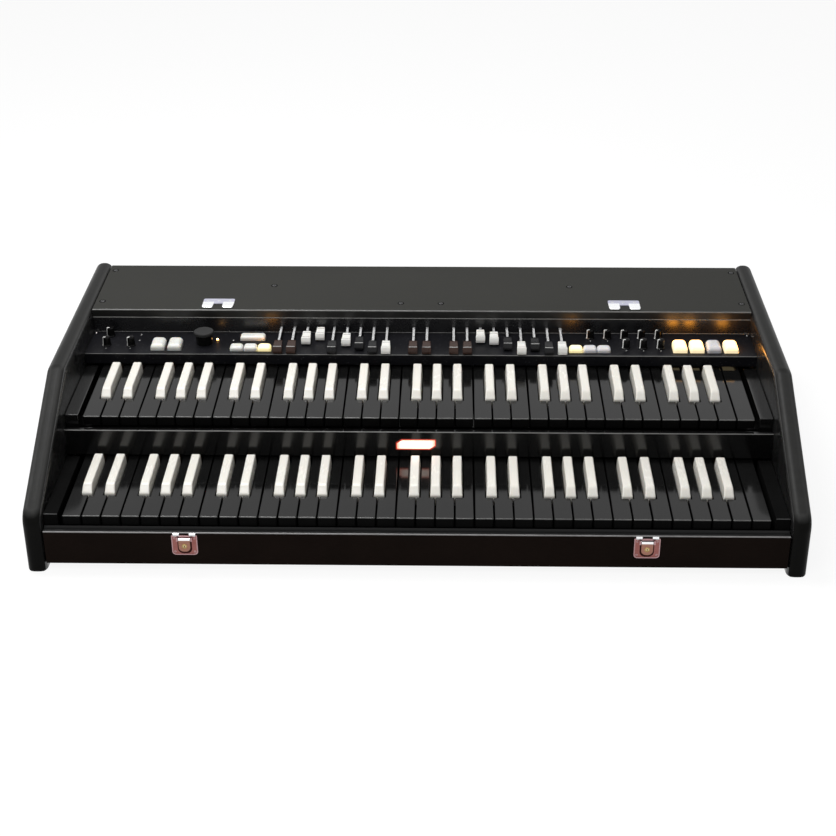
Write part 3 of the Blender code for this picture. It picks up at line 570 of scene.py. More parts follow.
class Shape:
    """Closed skins that become one mesh object."""

    def __init__(self, name: str) -> None:
        """Start an empty shape.

        Args:
            name: the object's name.
        """
        self.name = name
        self.points: list[Point] = []
        self.faces: list[list[int]] = []
        self.tones: list[int] = []

    def skin(self, rings: Sequence[Ring], tone: int = 0, closed: bool = True) -> "Shape":
        """Add a skin over rings of equal point count.

        Args:
            rings: the rings in order.
            tone: material number of its faces.
            closed: cap the first and the last ring.

        Returns:
            This shape.
        """
        start, count = len(self.points), len(rings[0])
        for ring in rings:
            self.points += [tuple(p) for p in ring]
        before = len(self.faces)
        for k in range(len(rings) - 1):
            a = start + k * count
            for i in range(count):
                j = (i + 1) % count
                self.faces.append([a + i, a + j, a + count + j, a + count + i])
        if closed:
            self.faces.append([start + i for i in reversed(range(count))])
            last = start + (len(rings) - 1) * count
            self.faces.append([last + i for i in range(count)])
        self.tones += [tone] * (len(self.faces) - before)
        return self

    def block(self, x0: float, x1: float, y0: float, y1: float, z0: float, z1: float,
              tone: int = 0) -> "Shape":
        """Add a box between its limits and return this shape."""
        return self.skin([[(x0, y0, z), (x1, y0, z), (x1, y1, z), (x0, y1, z)] for z in (z0, z1)], tone)

    def upright(self, plan: Plan, z0: float, z1: float, tone: int = 0) -> "Shape":
        """Add a plan outline raised from one height to another and return this shape."""
        return self.skin([[(x, y, z) for x, y in plan] for z in (z0, z1)], tone)

    def across(self, profile: Plan, x0: float, x1: float, tone: int = 0) -> "Shape":
        """Add a (depth, height) profile drawn along x and return this shape."""
        return self.skin([[(x, y, z) for y, z in profile] for x in (x0, x1)], tone)

    def deep(self, front: Plan, y0: float, y1: float, tone: int = 0) -> "Shape":
        """Add an (x, height) outline drawn backwards and return this shape."""
        return self.skin([[(x, y, z) for x, z in front] for y in (y0, y1)], tone)

    def turned(self, centre: Point, profile: Plan, sides: int, tone: int = 0, axis: str = "z") -> "Shape":
        """Turn (radius, reach) pairs about an axis.

        Args:
            centre: a point on the axis, from which the reach counts.
            profile: radius and reach of each ring.
            sides: points round the axis.
            tone: material number.
            axis: "z" upwards or "y" backwards.

        Returns:
            This shape.
        """
        rings = []
        for radius, reach in profile:
            ring = []
            for k in range(sides):
                a = 2.0 * math.pi * k / sides
                u, v = radius * math.cos(a), radius * math.sin(a)
                if axis == "z":
                    ring.append((centre[0] + u, centre[1] + v, centre[2] + reach))
                else:
                    ring.append((centre[0] + u, centre[1] + reach, centre[2] + v))
            rings.append(ring)
        return self.skin(rings, tone)

    def build(self, *finishes: Coating, bevel: float = 0.0, segments: int = 2,
              sharp: float = SHARP_ANGLE) -> Object:
        """Make the object.

        Args:
            *finishes: finishes in the order of the tones.
            bevel: width of the rounding on every real edge.
            segments: faces across that rounding.
            sharp: edges turned by more than these degrees stay sharp in the shading.

        Returns:
            The finished mesh object.
        """
        obj = raw(self.name, [spot(*p) for p in self.points], self.faces)
        for mat in paint(*finishes):
            obj.data.materials.append(mat)
        obj.data.polygons.foreach_set("material_index", self.tones)
        return polish(obj, bevel, segments, sharp)


def settle(obj: Object) -> Object:
    """Turn an object's modifiers into a plain mesh.

    Args:
        obj: the object.

    Returns:
        The object, without modifiers.
    """
    view = bpy.context.evaluated_depsgraph_get()
    view.update()
    mesh = bpy.data.meshes.new_from_object(obj.evaluated_get(view), preserve_all_data_layers=True,
                                           depsgraph=view)
    old = obj.data
    obj.modifiers.clear()
    obj.data = mesh
    bpy.data.meshes.remove(old)
    mesh.name = obj.name
    return obj


def polish(obj: Object, bevel: float = 0.0, segments: int = 1,
           sharp: float = SHARP_ANGLE) -> Object:
    """Point the faces outwards, round the edges and set the shading.

    Args:
        obj: the mesh object.
        bevel: width of the rounding in millimetres, 0 for none.
        segments: faces across it.
        sharp: edges turned by more than these degrees stay sharp.

    Returns:
        The object.
    """
    with editing(obj.data) as bm:
        bmesh.ops.remove_doubles(bm, verts=bm.verts, dist=0.002 * MM)
        bmesh.ops.dissolve_degenerate(bm, dist=0.002 * MM, edges=bm.edges)
        bmesh.ops.recalc_face_normals(bm, faces=bm.faces)
    if bevel:
        mod = obj.modifiers.new("edges", "BEVEL")
        mod.limit_method = "ANGLE"
        mod.angle_limit = math.radians(sharp)
        mod.width = bevel * MM
        mod.segments = segments
        mod.use_clamp_overlap = True
        settle(obj)
    obj.data.polygons.foreach_set("use_smooth", [True] * len(obj.data.polygons))
    obj.data.set_sharp_from_angle(angle=math.radians(sharp))
    mod = obj.modifiers.new("shading", "WEIGHTED_NORMAL")
    mod.keep_sharp = True
    return settle(obj)


def refined(node: str, name: str, width: float, shortest: float, *finishes: Coating) -> Object:
    """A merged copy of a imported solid's mesh with its long straight edges rounded.

    Args:
        node: the solid's name.
        name: the copy's name.
        width: width of the rounding in millimetres.
        shortest: shorter edges, in millimetres, stay as they are.
        *finishes: the copy's finishes, the first for all of it.

    Returns:
        The new object; the solid itself isn't touched.
    """
    mesh = frame["nodes"][node].data.copy()
    mesh.name = name
    mesh.materials.clear()
    for mat in paint(*finishes):
        mesh.materials.append(mat)
    obj = placed(name, mesh)
    with editing(mesh) as bm:
        bmesh.ops.remove_doubles(bm, verts=bm.verts, dist=0.005 * MM)
        bmesh.ops.dissolve_limit(bm, angle_limit=0.003, verts=bm.verts, edges=bm.edges)
    with editing(mesh) as bm:
        edges = [e for e in bm.edges if len(e.link_faces) == 2 and e.calc_length() > shortest * MM
                 and e.calc_face_angle() > math.radians(30.0)]
        bmesh.ops.bevel(bm, geom=edges, offset=width * MM, segments=3, profile=0.5, affect="EDGES",
                        clamp_overlap=True, material=-1)
    return polish(obj)


def merge(objects: Sequence[Object], name: str) -> Object:
    """Join mesh objects into one, each keeping its materials.

    Args:
        objects: the objects, which are used up.
        name: the new object's name.

    Returns:
        The joined object.
    """
    view = bpy.context.view_layer
    for obj in view.objects:
        obj.select_set(False)
    for obj in objects:
        obj.select_set(True)
    view.objects.active = objects[0]
    if len(objects) > 1:
        bpy.ops.object.join()
    objects[0].name = name
    objects[0].data.name = name
    return objects[0]


def face_map(obj: Object, axes: tuple[int, int] = (0, 1)) -> Object:
    """Give a piece a UV map that fills its box, seen along the third axis.

    Args:
        obj: the mesh object.
        axes: the two axes that the map follows.

    Returns:
        The object.
    """
    mesh = obj.data
    spans = []
    for axis in axes:
        values = [v.co[axis] for v in mesh.vertices]
        spans.append((min(values), max(values)))
    layer = mesh.uv_layers.new(name="face")
    for loop in mesh.loops:
        co = mesh.vertices[loop.vertex_index].co
        layer.data[loop.index].uv = [(co[axis] - low) / max(high - low, 1e-6)
                                     for axis, (low, high) in zip(axes, spans)]
    return obj


# Rules that repeat
class Rule:
    """A Geometry Nodes tree with named inputs, applied to a mesh and turned plain."""

    def __init__(self, name: str, sockets: dict[str, tuple[str, object]]) -> None:
        """Make the tree with its inputs.

        Args:
            name: the tree's name.
            sockets: input name to its kind and default.
        """
        self.tree = bpy.data.node_groups.new(name, "GeometryNodeTree")
        face = self.tree.interface
        face.new_socket("Geometry", in_out="INPUT", socket_type="NodeSocketGeometry")
        self.keys: dict[str, str] = {}
        for label, (kind, default) in sockets.items():
            socket = face.new_socket(label, in_out="INPUT", socket_type=kind)
            if default is not None:
                socket.default_value = default
            self.keys[label] = socket.identifier
        face.new_socket("Geometry", in_out="OUTPUT", socket_type="NodeSocketGeometry")
        self.given = self.tree.nodes.new("NodeGroupInput").outputs
        self.sink = self.tree.nodes.new("NodeGroupOutput")

    def close(self, instances: Socket) -> "Rule":
        """End the tree in plain geometry with its material.

        Args:
            instances: the instances that the tree has made.

        Returns:
            This rule.
        """
        real = wire(self.tree, "GeometryNodeRealizeInstances", {0: instances})
        clad = wire(self.tree, "GeometryNodeSetMaterial", {"Geometry": real.outputs[0],
                                                           "Material": self.given["Material"]})
        self.tree.links.new(clad.outputs[0], self.sink.inputs[0])
        return self

    def apply(self, obj: Object, finish: Coating, **values: object) -> Object:
        """Run the rule on an object and keep the result as a plain mesh.

        Args:
            obj: the object whose mesh goes in.
            finish: the finish of what comes out.
            **values: the rule's other inputs by name.

        Returns:
            The object, without a modifier.
        """
        mod = obj.modifiers.new(self.tree.name, "NODES")
        mod.node_group = self.tree
        mod[self.keys["Material"]] = paint(finish)[0]
        for label, value in values.items():
            mod[self.keys[label]] = value
        return settle(obj)


def line_of_copies(rule: Rule, step: object) -> Socket:
    """Repeat a rule's geometry on a straight line.

    Args:
        rule: a rule with an input Count.
        step: way from one copy to the next, a value or a socket.

    Returns:
        The socket of the instances.
    """
    line = wire(rule.tree, "GeometryNodeMeshLine", {"Count": rule.given["Count"], "Offset": step},
                mode="OFFSET")
    return wire(rule.tree, "GeometryNodeInstanceOnPoints",
                {"Points": line.outputs[0], "Instance": rule.given["Geometry"]}).outputs[0]


def row_rule() -> Rule:
    """Repeats a template along a straight line, with a little random offset if asked.

    Returns:
        The rule, with a Count, a Step, a Jitter and a Seed.
    """
    rule = Rule("straight_row", {
        "Count": ("NodeSocketInt", 5), "Step": ("NodeSocketVector", (0.1, 0.0, 0.0)),
        "Jitter": ("NodeSocketFloat", 0.0), "Seed": ("NodeSocketInt", 7),
        "Material": ("NodeSocketMaterial", None)})
    tree, given = rule.tree, rule.given
    copies = line_of_copies(rule, given["Step"])
    chance = wire(tree, "FunctionNodeRandomValue", {0: (-1.0, -1.0, -1.0), 1: (1.0, 1.0, 1.0),
                                                    "Seed": given["Seed"]}, data_type="FLOAT_VECTOR")
    shift = wire(tree, "ShaderNodeVectorMath", {0: chance.outputs[0], "Scale": given["Jitter"]},
                 operation="SCALE")
    moved = wire(tree, "GeometryNodeTranslateInstances", {"Instances": copies,
                                                          "Translation": shift.outputs[0]})
    return rule.close(moved.outputs[0])


def wheel_rule() -> Rule:
    """Repeats a template round the upright line through the origin, such as ribs of a knob.

    Returns:
        The rule, with a Count.
    """
    rule = Rule("round_row", {"Count": ("NodeSocketInt", 12), "Material": ("NodeSocketMaterial", None)})
    tree = rule.tree
    copies = line_of_copies(rule, (0.0, 0.0, 0.0))
    index = wire(tree, "GeometryNodeInputIndex").outputs[0]
    angle = calc(tree, "MULTIPLY", calc(tree, "DIVIDE", index, rule.given["Count"]), 2.0 * math.pi)
    turn = wire(tree, "ShaderNodeCombineXYZ", {2: angle}).outputs[0]
    turned = wire(tree, "GeometryNodeRotateInstances", {
        "Instances": copies, "Rotation": turn, "Pivot Point": (0.0, 0.0, 0.0), "Local Space": False})
    return rule.close(turned.outputs[0])


def station_rule() -> Rule:
    """Puts a template on every point of a mesh, each turned by a random angle if asked.

    Returns:
        The rule, with a Template, a Tilt, a Turn and a Seed.
    """
    rule = Rule("stations", {
        "Template": ("NodeSocketObject", None), "Tilt": ("NodeSocketVector", UPRIGHT),
        "Turn": ("NodeSocketFloat", 0.0), "Seed": ("NodeSocketInt", 3),
        "Material": ("NodeSocketMaterial", None)})
    tree, given = rule.tree, rule.given
    head = wire(tree, "GeometryNodeObjectInfo", {"Object": given["Template"]})
    copies = wire(tree, "GeometryNodeInstanceOnPoints", {
        "Points": given["Geometry"], "Instance": head.outputs["Geometry"], "Rotation": given["Tilt"]})
    chance = wire(tree, "FunctionNodeRandomValue", {2: 0.0, 3: math.pi, "Seed": given["Seed"]},
                  data_type="FLOAT")
    turn = wire(tree, "ShaderNodeCombineXYZ", {2: calc(tree, "MULTIPLY", chance.outputs[1], given["Turn"])})
    turned = wire(tree, "GeometryNodeRotateInstances", {"Instances": copies.outputs[0],
                                                        "Rotation": turn.outputs[0]})
    return rule.close(turned.outputs[0])


@dataclass
class Rules:
    """The rules that repeat."""

    row: Rule = field(default_factory=row_rule)
    wheel: Rule = field(default_factory=wheel_rule)
    stations: Rule = field(default_factory=station_rule)


@cache
def rules() -> Rules:
    """The rules, built when first asked for."""
    return Rules()


def fit(obj: Object, body: str, slot: str, *nodes: str) -> None:
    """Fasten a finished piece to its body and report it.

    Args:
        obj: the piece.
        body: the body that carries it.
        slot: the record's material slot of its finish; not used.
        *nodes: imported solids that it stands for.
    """
    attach(obj, body)
    if nodes:
        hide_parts(*nodes)
    log.info("%s rides on %s (%d faces)", obj.name, body, len(obj.data.polygons))


def brick(name: str, limits: Sizes, finish: Coating, body: str, slot: str, bevel: float = 0.0) -> None:
    """Build a plain box and fasten it."""
    fit(Shape(name).block(*limits).build(finish, bevel=bevel), body, slot)


def screw_head(name: str, radius: float, rise: float) -> Object:
    """A domed screw head with a cross recess, its foot at the origin.

    Args:
        name: the template's name.
        radius: radius of the head in millimetres.
        rise: height of its dome.

    Returns:
        The template object.
    """
    sides = 12          # points round the head, and as many round the cross
    rings = [(radius, -0.6), (radius, rise * 0.3), (radius * 0.8, rise * 0.85), (radius * 0.5, rise)]
    turns = [2 * math.pi * k / sides for k in range(sides)]
    verts = [(r * math.cos(a) * MM, r * math.sin(a) * MM, z * MM) for r, z in rings for a in turns]
    mark, top = len(verts), len(verts) - sides
    faces = [[a + k, a + (k + 1) % sides, a + sides + (k + 1) % sides, a + sides + k]
             for a in range(0, top, sides) for k in range(sides)]
    arm, wide, low = radius * 0.46, radius * 0.13, rise - radius * 0.35
    for a in (math.pi / 2.0 * k for k in range(4)):
        for u, v in ((arm, -wide), (arm, wide), (wide, wide)):
            verts.append(((u * math.cos(a) - v * math.sin(a)) * MM, (u * math.sin(a) + v * math.cos(a)) * MM,
                          rise * MM))
    verts += [(x, y, low * MM) for x, y, _z in verts[mark:]]
    cross, floor = range(mark, mark + sides), range(mark + sides, mark + 2 * sides)
    nexts = [(i + 1) % sides for i in range(sides)]
    faces += [[cross[i], floor[i], floor[j], cross[j]] for i, j in enumerate(nexts)]
    faces += [list(floor), list(reversed(range(sides)))]
    faces += [[top + i, top + j, cross[nexts[j]], cross[j]] for i, j in enumerate(nexts)]
    return polish(raw(name, verts, faces), sharp=40.0)


def scatter(name: str, template: Object, places: Iterable[Point], finish: Finish,
            tilt: Point = UPRIGHT, turn: float = 0.0) -> Object:
    """Repeat a template at places, and use the template up.

    Args:
        name: the piece's name.
        template: the object to repeat, built round the world's origin or lines through it.
        places: where to, in the organ's frame.
        finish: the finish of all copies.
        tilt: how the copies are turned, in radians.
        turn: 1 turns each copy by a random angle about its own axis, 0 doesn't.

    Returns:
        One mesh with all the copies.
    """
    obj = raw(name, [spot(*p) for p in places], [])
    rules().stations.apply(obj, finish, Template=template, Tilt=tilt, Turn=turn)
    bpy.data.objects.remove(template, do_unlink=True)
    return obj


def drive(name: str, slot: str, places: Iterable[Point], radius: float, finish: Finish,
          tilt: Point = UPRIGHT, rise: float = 0.5) -> None:
    """Put screws into one flat face of the case.

    Args:
        name: the piece's name.
        slot: the record's material slot.
        places: each screw's seat in the organ's frame.
        radius: radius of the heads.
        finish: their finish.
        tilt: how the heads are turned from pointing up, in radians.
        rise: height of the domes.
    """
    head = screw_head(name + "_head", radius, rise)
    fit(scatter(name, head, places, finish, tilt, 1.0), "case", slot)


@dataclass(frozen=True)
class Box:
    """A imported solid's limits in the organ's frame: x, depth and height, low and high."""

    x0: float
    x1: float
    y0: float
    y1: float
    z0: float
    z1: float

    @classmethod
    def of(cls, node: str) -> "Box":
        """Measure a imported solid.

        Args:
            node: the solid's name.

        Returns:
            Its box.
        """
        low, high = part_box(node)
        return cls(low.x / MM, high.x / MM, low.y / MM + MIDDLE, high.y / MM + MIDDLE, low.z / MM - FLOOR,
                   high.z / MM - FLOOR)

    @property
    def cx(self) -> float:
        """X of the middle."""
        return (self.x0 + self.x1) / 2.0

    @property
    def cy(self) -> float:
        """Depth of the middle."""
        return (self.y0 + self.y1) / 2.0


def span(middle: float, way: int, near: float, far: float) -> tuple[float, float]:
    """Two distances to one side of a middle line, as low and high x."""
    low, high = sorted((middle + way * near, middle + way * far))
    return low, high


def quarter(steps: int) -> list[tuple[float, float]]:
    """How far a quarter round has come, across and along, in shares of its radius."""
    angles = [math.pi / 2.0 * k / steps for k in range(steps + 1)]
    return [(1.0 - math.cos(a), 1.0 - math.sin(a)) for a in angles]


def retone(obj: Object, tone: int, test: Callable[[float, float, float], bool]) -> None:
    """Give faces another material by where their middle is.

    Args:
        obj: the mesh object.
        tone: material number.
        test: says of x, depth and height in millimetres whether a face is meant.
    """
    for face in obj.data.polygons:
        c = face.center
        if test(c.x / MM, c.y / MM + MIDDLE, c.z / MM - FLOOR):
            face.material_index = tone


def grey(tone: float) -> Colour:
    """A neutral colour."""
    return tone, tone, tone


# Finishes
# Side panels: satin black; the sloping faces get a lighter painted sheen in place of the light that falls on
# them.
SIDE_PAINT = Finish(
    "side_black_satin", (0.003, 0.003, 0.0026), (0.006, 0.006, 0.0056), (0.30, 0.42), grain=1100.0,
    bump=0.03, specular=0.045, scuff=0.25, scuff_tone=grey(0.05), slope_sheen=1.0, slope_sheen_tone=(0.053, 0.053, 0.052))
OUTER_PAINT = Finish(
    "side_outer_texture", (0.009, 0.009, 0.0085), (0.017, 0.017, 0.016), (0.34, 0.5), grain=420.0, bump=0.09,
    patch=9.0, specular=0.25, scuff=0.3, scuff_tone=grey(0.05))
CHEEK_PAINT = Finish("cheek_black_gloss", grey(0.005), grey(0.009), (0.22, 0.32), bump=0.012, specular=0.85)
BLOCK_PAINT = Finish(
    "block_black", grey(0.005), grey(0.008), (0.5, 0.65), bump=0.03, specular=0.0, scuff=0.2,
    scuff_tone=grey(0.03))
SLIP_BLACK = Finish(
    "key_slip_black", grey(0.008), (0.013, 0.0135, 0.0135), (0.5, 0.65), grain=700.0, bump=0.03,
    specular=0.2)
DIVIDER_GLOSS = Finish(
    "divider_black_gloss", grey(0.003), grey(0.006), (0.13, 0.2), grain=500.0, bump=0.006, scuff=0.15,
    scuff_tone=grey(0.03))
FRONT_PAINT = Finish(
    "front_brown_black", (0.0085, 0.0054, 0.0042), (0.0130, 0.0084, 0.0066), (0.4, 0.55), grain=700.0,
    stretch=(0.15, 1.0, 1.0), bump=0.03, specular=0.02, scuff=0.2, scuff_tone=(0.03, 0.025, 0.02))
REAR_PAINT = Finish("rear_black", grey(0.010), grey(0.019), (0.45, 0.6), bump=0.04, specular=0.2)
TOP_PAINT = Finish(
    "top_matte_grey", (0.021, 0.021, 0.0185), (0.033, 0.033, 0.030), (0.58, 0.74), grain=1500.0, bump=0.06,
    patch=7.0, specular=0.1, scuff=0.2, scuff_tone=grey(0.07))
# Painted shade: the top board's front face, far darker than its top, with a satin shine.
TOP_FACE_SHADE = Finish(
    "top_front_satin", (0.005, 0.005, 0.0045), (0.009, 0.009, 0.008), (0.28, 0.36), stretch=(0.2, 1.0, 1.0),
    bump=0.02, specular=0.4)
# Painted highlight: a light band along the lower front edge of the top board.
TOP_BAND_HIGHLIGHT = Finish("edge_band_light", (0.24, 0.24, 0.23), (0.36, 0.36, 0.35), grain=500.0, patch=60.0)
# Painted highlight on the front board's rounded upper edge.
FRONT_EDGE_HIGHLIGHT = Finish("front_edge_grey", (0.17, 0.165, 0.165), (0.27, 0.265, 0.265), grain=500.0, patch=60.0)
# Painted highlight on the edges of the lower key blocks.
BLOCK_EDGE_HIGHLIGHT = Finish("block_edge_shine", grey(0.03), grey(0.05), grain=500.0, specular=0.3)
# Painted highlight: light grey on rounded edges, in place of the light that they catch.
PAINTED_EDGE_HIGHLIGHT = Finish("worn_edge_grey", (0.09, 0.09, 0.087), (0.16, 0.16, 0.155), grain=500.0, patch=60.0)
PANEL_GLOSS = Finish(
    "panel_black_gloss", (0.004, 0.004, 0.005), (0.008, 0.008, 0.010), (0.32, 0.42), grain=500.0, bump=0.008,
    specular=0.10, speck=0.12, speck_scale=420.0, speck_tone=(0.05, 0.05, 0.055))
WALL_GLOSS = Finish(
    "wall_black_gloss", (0.006, 0.006, 0.007), (0.010, 0.010, 0.011), (0.24, 0.32), grain=500.0, bump=0.006,
    specular=0.6)
KEY_BLACK = Finish(
    "natural_black_gloss", grey(0.004), grey(0.007), (0.07, 0.14), grain=350.0, bump=0.004, specular=0.22,
    scuff=0.3, scuff_tone=grey(0.03))
# Painted shade: the naturals' sides and fronts, a darker and duller copy of their black.
KEY_SIDE_SHADE = Finish(
    "natural_front_black", grey(0.002), grey(0.004), (0.4, 0.5), grain=600.0, bump=0.008, specular=0.025)
# Painted highlight: a lighter band on the naturals' rounded front edges.
KEY_EDGE_HIGHLIGHT = Finish(
    "natural_edge_shine", (0.07, 0.07, 0.068), (0.13, 0.13, 0.127), (0.2, 0.3), grain=500.0, bump=0.004,
    patch=90.0, specular=0.4)
KEY_IVORY = Finish(
    "sharp_ivory_gloss", (0.83, 0.80, 0.73), (0.88, 0.855, 0.79), (0.2, 0.3), grain=500.0,
    stretch=(1.0, 0.2, 1.0), bump=0.004, specular=0.45, inner=0.1)
KEY_WOOD = Finish(
    "lever_dark_wood", (0.022, 0.014, 0.009), (0.05, 0.033, 0.02), (0.6, 0.75), grain=500.0,
    stretch=(1.0, 0.06, 1.0), bump=0.05, specular=0.2)
# Latch metal: nickel whose pink and tan tints are a painted reflection of pink surroundings.
RIM_NICKEL = Finish(
    "latch_rim_nickel", (0.32, 0.18, 0.185), (0.46, 0.30, 0.305), (0.22, 0.32), stretch=(0.12, 1.0, 1.0),
    metal=1.0, scuff=0.3, scuff_tone=(0.3, 0.2, 0.2))
NICKEL = Finish(
    "latch_pink_nickel", (0.205, 0.07, 0.062), (0.30, 0.125, 0.112), (0.26, 0.38), stretch=(0.12, 1.0, 1.0),
    metal=1.0, scuff=0.3, scuff_tone=(0.2, 0.1, 0.09))
TONGUE = Finish(
    "tongue_tan_nickel", (0.24, 0.112, 0.078), (0.35, 0.18, 0.135), (0.24, 0.34), stretch=(0.12, 1.0, 1.0),
    metal=1.0)
# Painted shade: the dark red pocket round the latch tongue.
POCKET_SHADE = Finish("latch_recess_dark", (0.030, 0.004, 0.003), (0.05, 0.010, 0.008), (0.5, 0.6), specular=0.1)
BRASS = Finish("keyhole_brass", (0.34, 0.235, 0.08), (0.52, 0.385, 0.16), (0.25, 0.35), metal=1.0)
PLUG_BRASS = Finish("keyhole_plug_brass", (0.62, 0.47, 0.24), (0.80, 0.64, 0.38), (0.25, 0.35), metal=1.0)
CHROME = Finish(
    "hinge_chrome", (0.88, 0.89, 0.90), (0.96, 0.97, 0.98), (0.14, 0.22), grain=700.0,
    stretch=(0.15, 1.0, 1.0), bump=0.005, metal=1.0)
# Painted reflection: the hinge strip's chrome, dimmer and lilac for what it reflects, beside the bright
# tongues.
DIM_CHROME_REFLECTION = Finish(
    "hinge_dull_chrome", (0.40, 0.40, 0.50), (0.54, 0.54, 0.64), grain=700.0, stretch=(0.15, 1.0, 1.0),
    metal=1.0, scuff=0.3, scuff_tone=(0.25, 0.25, 0.3))
STEEL = Finish(
    "stem_steel", (0.48, 0.48, 0.47), (0.66, 0.66, 0.65), (0.25, 0.38), grain=1400.0,
    stretch=(1.0, 0.1, 1.0), metal=1.0)
SCREW_BLACK = Finish("screw_black_oxide", (0.010, 0.010, 0.011), (0.02, 0.02, 0.022), grain=1500.0)
SCREW_ZINC = Finish("screw_zinc", grey(0.5), (0.65, 0.65, 0.64), (0.22, 0.34), grain=1500.0, metal=1.0)
BAR_BROWN = Finish(
    "drawbar_brown_gloss", (0.028, 0.013, 0.009), (0.042, 0.021, 0.015), (0.24, 0.34), grain=700.0,
    specular=0.22)
BAR_WHITE = Finish(
    "drawbar_white_gloss", (0.82, 0.81, 0.77), (0.87, 0.86, 0.82), (0.24, 0.34), grain=700.0, specular=0.4,
    inner=0.1)
BAR_BLACK = Finish(
    "drawbar_black_gloss", (0.005, 0.005, 0.006), (0.009, 0.009, 0.010), (0.24, 0.34), grain=700.0,
    specular=0.2)
MARK_DARK = Finish("mark_dark", grey(0.02), grey(0.03), (0.5, 0.6), grain=600.0, bump=0.02, specular=0.3)
# Painted highlight: a light line on the ridge of the dark drawbar caps.
RIDGE_HIGHLIGHT = Finish(
    "mark_silver", (0.26, 0.26, 0.255), (0.38, 0.38, 0.37), (0.3, 0.4), bump=0.02, specular=0.4)
SCALE_WHITE = Finish("scale_white", grey(0.74), grey(0.84), (0.35, 0.45), bump=0.02, specular=0.4)
# Painted shade: near black for the keyhole, round the top board's screws and under the hinge tongues.
HOLLOW_SHADE = Finish("recess_black", grey(0.001), grey(0.003), (0.7, 0.8), bump=0.02, specular=0.0)
# White for the printed dots on the panel and for the painted highlight on the small knobs.
PRINT_AND_HIGHLIGHT_WHITE = Finish(
    "mark_white", (0.70, 0.70, 0.68), (0.78, 0.78, 0.76), (0.5, 0.6), grain=600.0, bump=0.02, specular=0.3)
KNOB_BLACK = Finish("knob_black_gloss", grey(0.003), grey(0.005), (0.12, 0.2), bump=0.006, specular=0.12)
KNOB_GREY = Finish(
    "selector_grey", grey(0.018), grey(0.028), (0.5, 0.62), grain=1800.0, bump=0.03, specular=0.15,
    scuff=0.2, scuff_tone=grey(0.06))
CAP_WHITE = Finish(
    "cap_white", (0.76, 0.755, 0.71), (0.82, 0.815, 0.77), (0.24, 0.34), bump=0.008, specular=0.45,
    inner=0.5)
# Painted shade: grey lines in the grooves of the white drawbar caps.
GROOVE_SHADE = Finish(
    "cap_line_grey", (0.25, 0.25, 0.245), (0.34, 0.34, 0.335), (0.4, 0.5), bump=0.02, specular=0.3)
CAP_GREY = Finish(
    "cap_pale_grey", (0.72, 0.70, 0.715), (0.80, 0.78, 0.79), (0.24, 0.34), bump=0.008, specular=0.45,
    inner=0.5)
BOARD_GREEN = Finish(
    "circuit_green_mask", (0.012, 0.07, 0.025), (0.03, 0.13, 0.05), grain=260.0, stretch=(0.1, 1.0, 1.0),
    bump=0.02, speck=0.5, speck_scale=260.0, speck_tone=(0.55, 0.55, 0.5))
CHIP_BLACK = Finish(
    "chip_black", (0.015, 0.015, 0.016), (0.025, 0.025, 0.026), (0.5, 0.6), grain=1200.0, bump=0.02)
AMBER_TOP = Glow("lit_amber_face", (1.0, 0.50, 0.17), (0.66, 0.34, 0.105), 4.0, (0.8, 0.66, 0.44))
AMBER_SIDE = Glow("lit_amber_side", (1.0, 0.80, 0.45), (1.0, 0.80, 0.45), 0.75)
AMBER_REAR = Glow("lit_amber_rear", (1.0, 0.36, 0.03), (1.0, 0.36, 0.03), 22.0)
YELLOW_TOP = Glow("lit_yellow_face", (1.0, 0.92, 0.50), (1.0, 0.78, 0.24), 0.85)
YELLOW_SIDE = Glow("lit_yellow_side", (1.0, 0.84, 0.35), (1.0, 0.84, 0.35), 0.6)
YELLOW_REAR = Glow("lit_yellow_rear", (1.0, 0.38, 0.04), (1.0, 0.38, 0.04), 13.0)
LAMP_AMBER = Glow("small_lamp_amber", (1.0, 0.55, 0.18), (1.0, 0.45, 0.1), 12.0)
SIGN_LENS = Glow("backlit_lens", (1.0, 0.80, 0.72), (0.75, 0.10, 0.05), 2.4, spread=(0.30, 0.5))
SIGN_RIM = Glow("lens_rim_red", (1.0, 0.12, 0.07), (1.0, 0.12, 0.07), 0.35, body=(0.2, 0.02, 0.01))


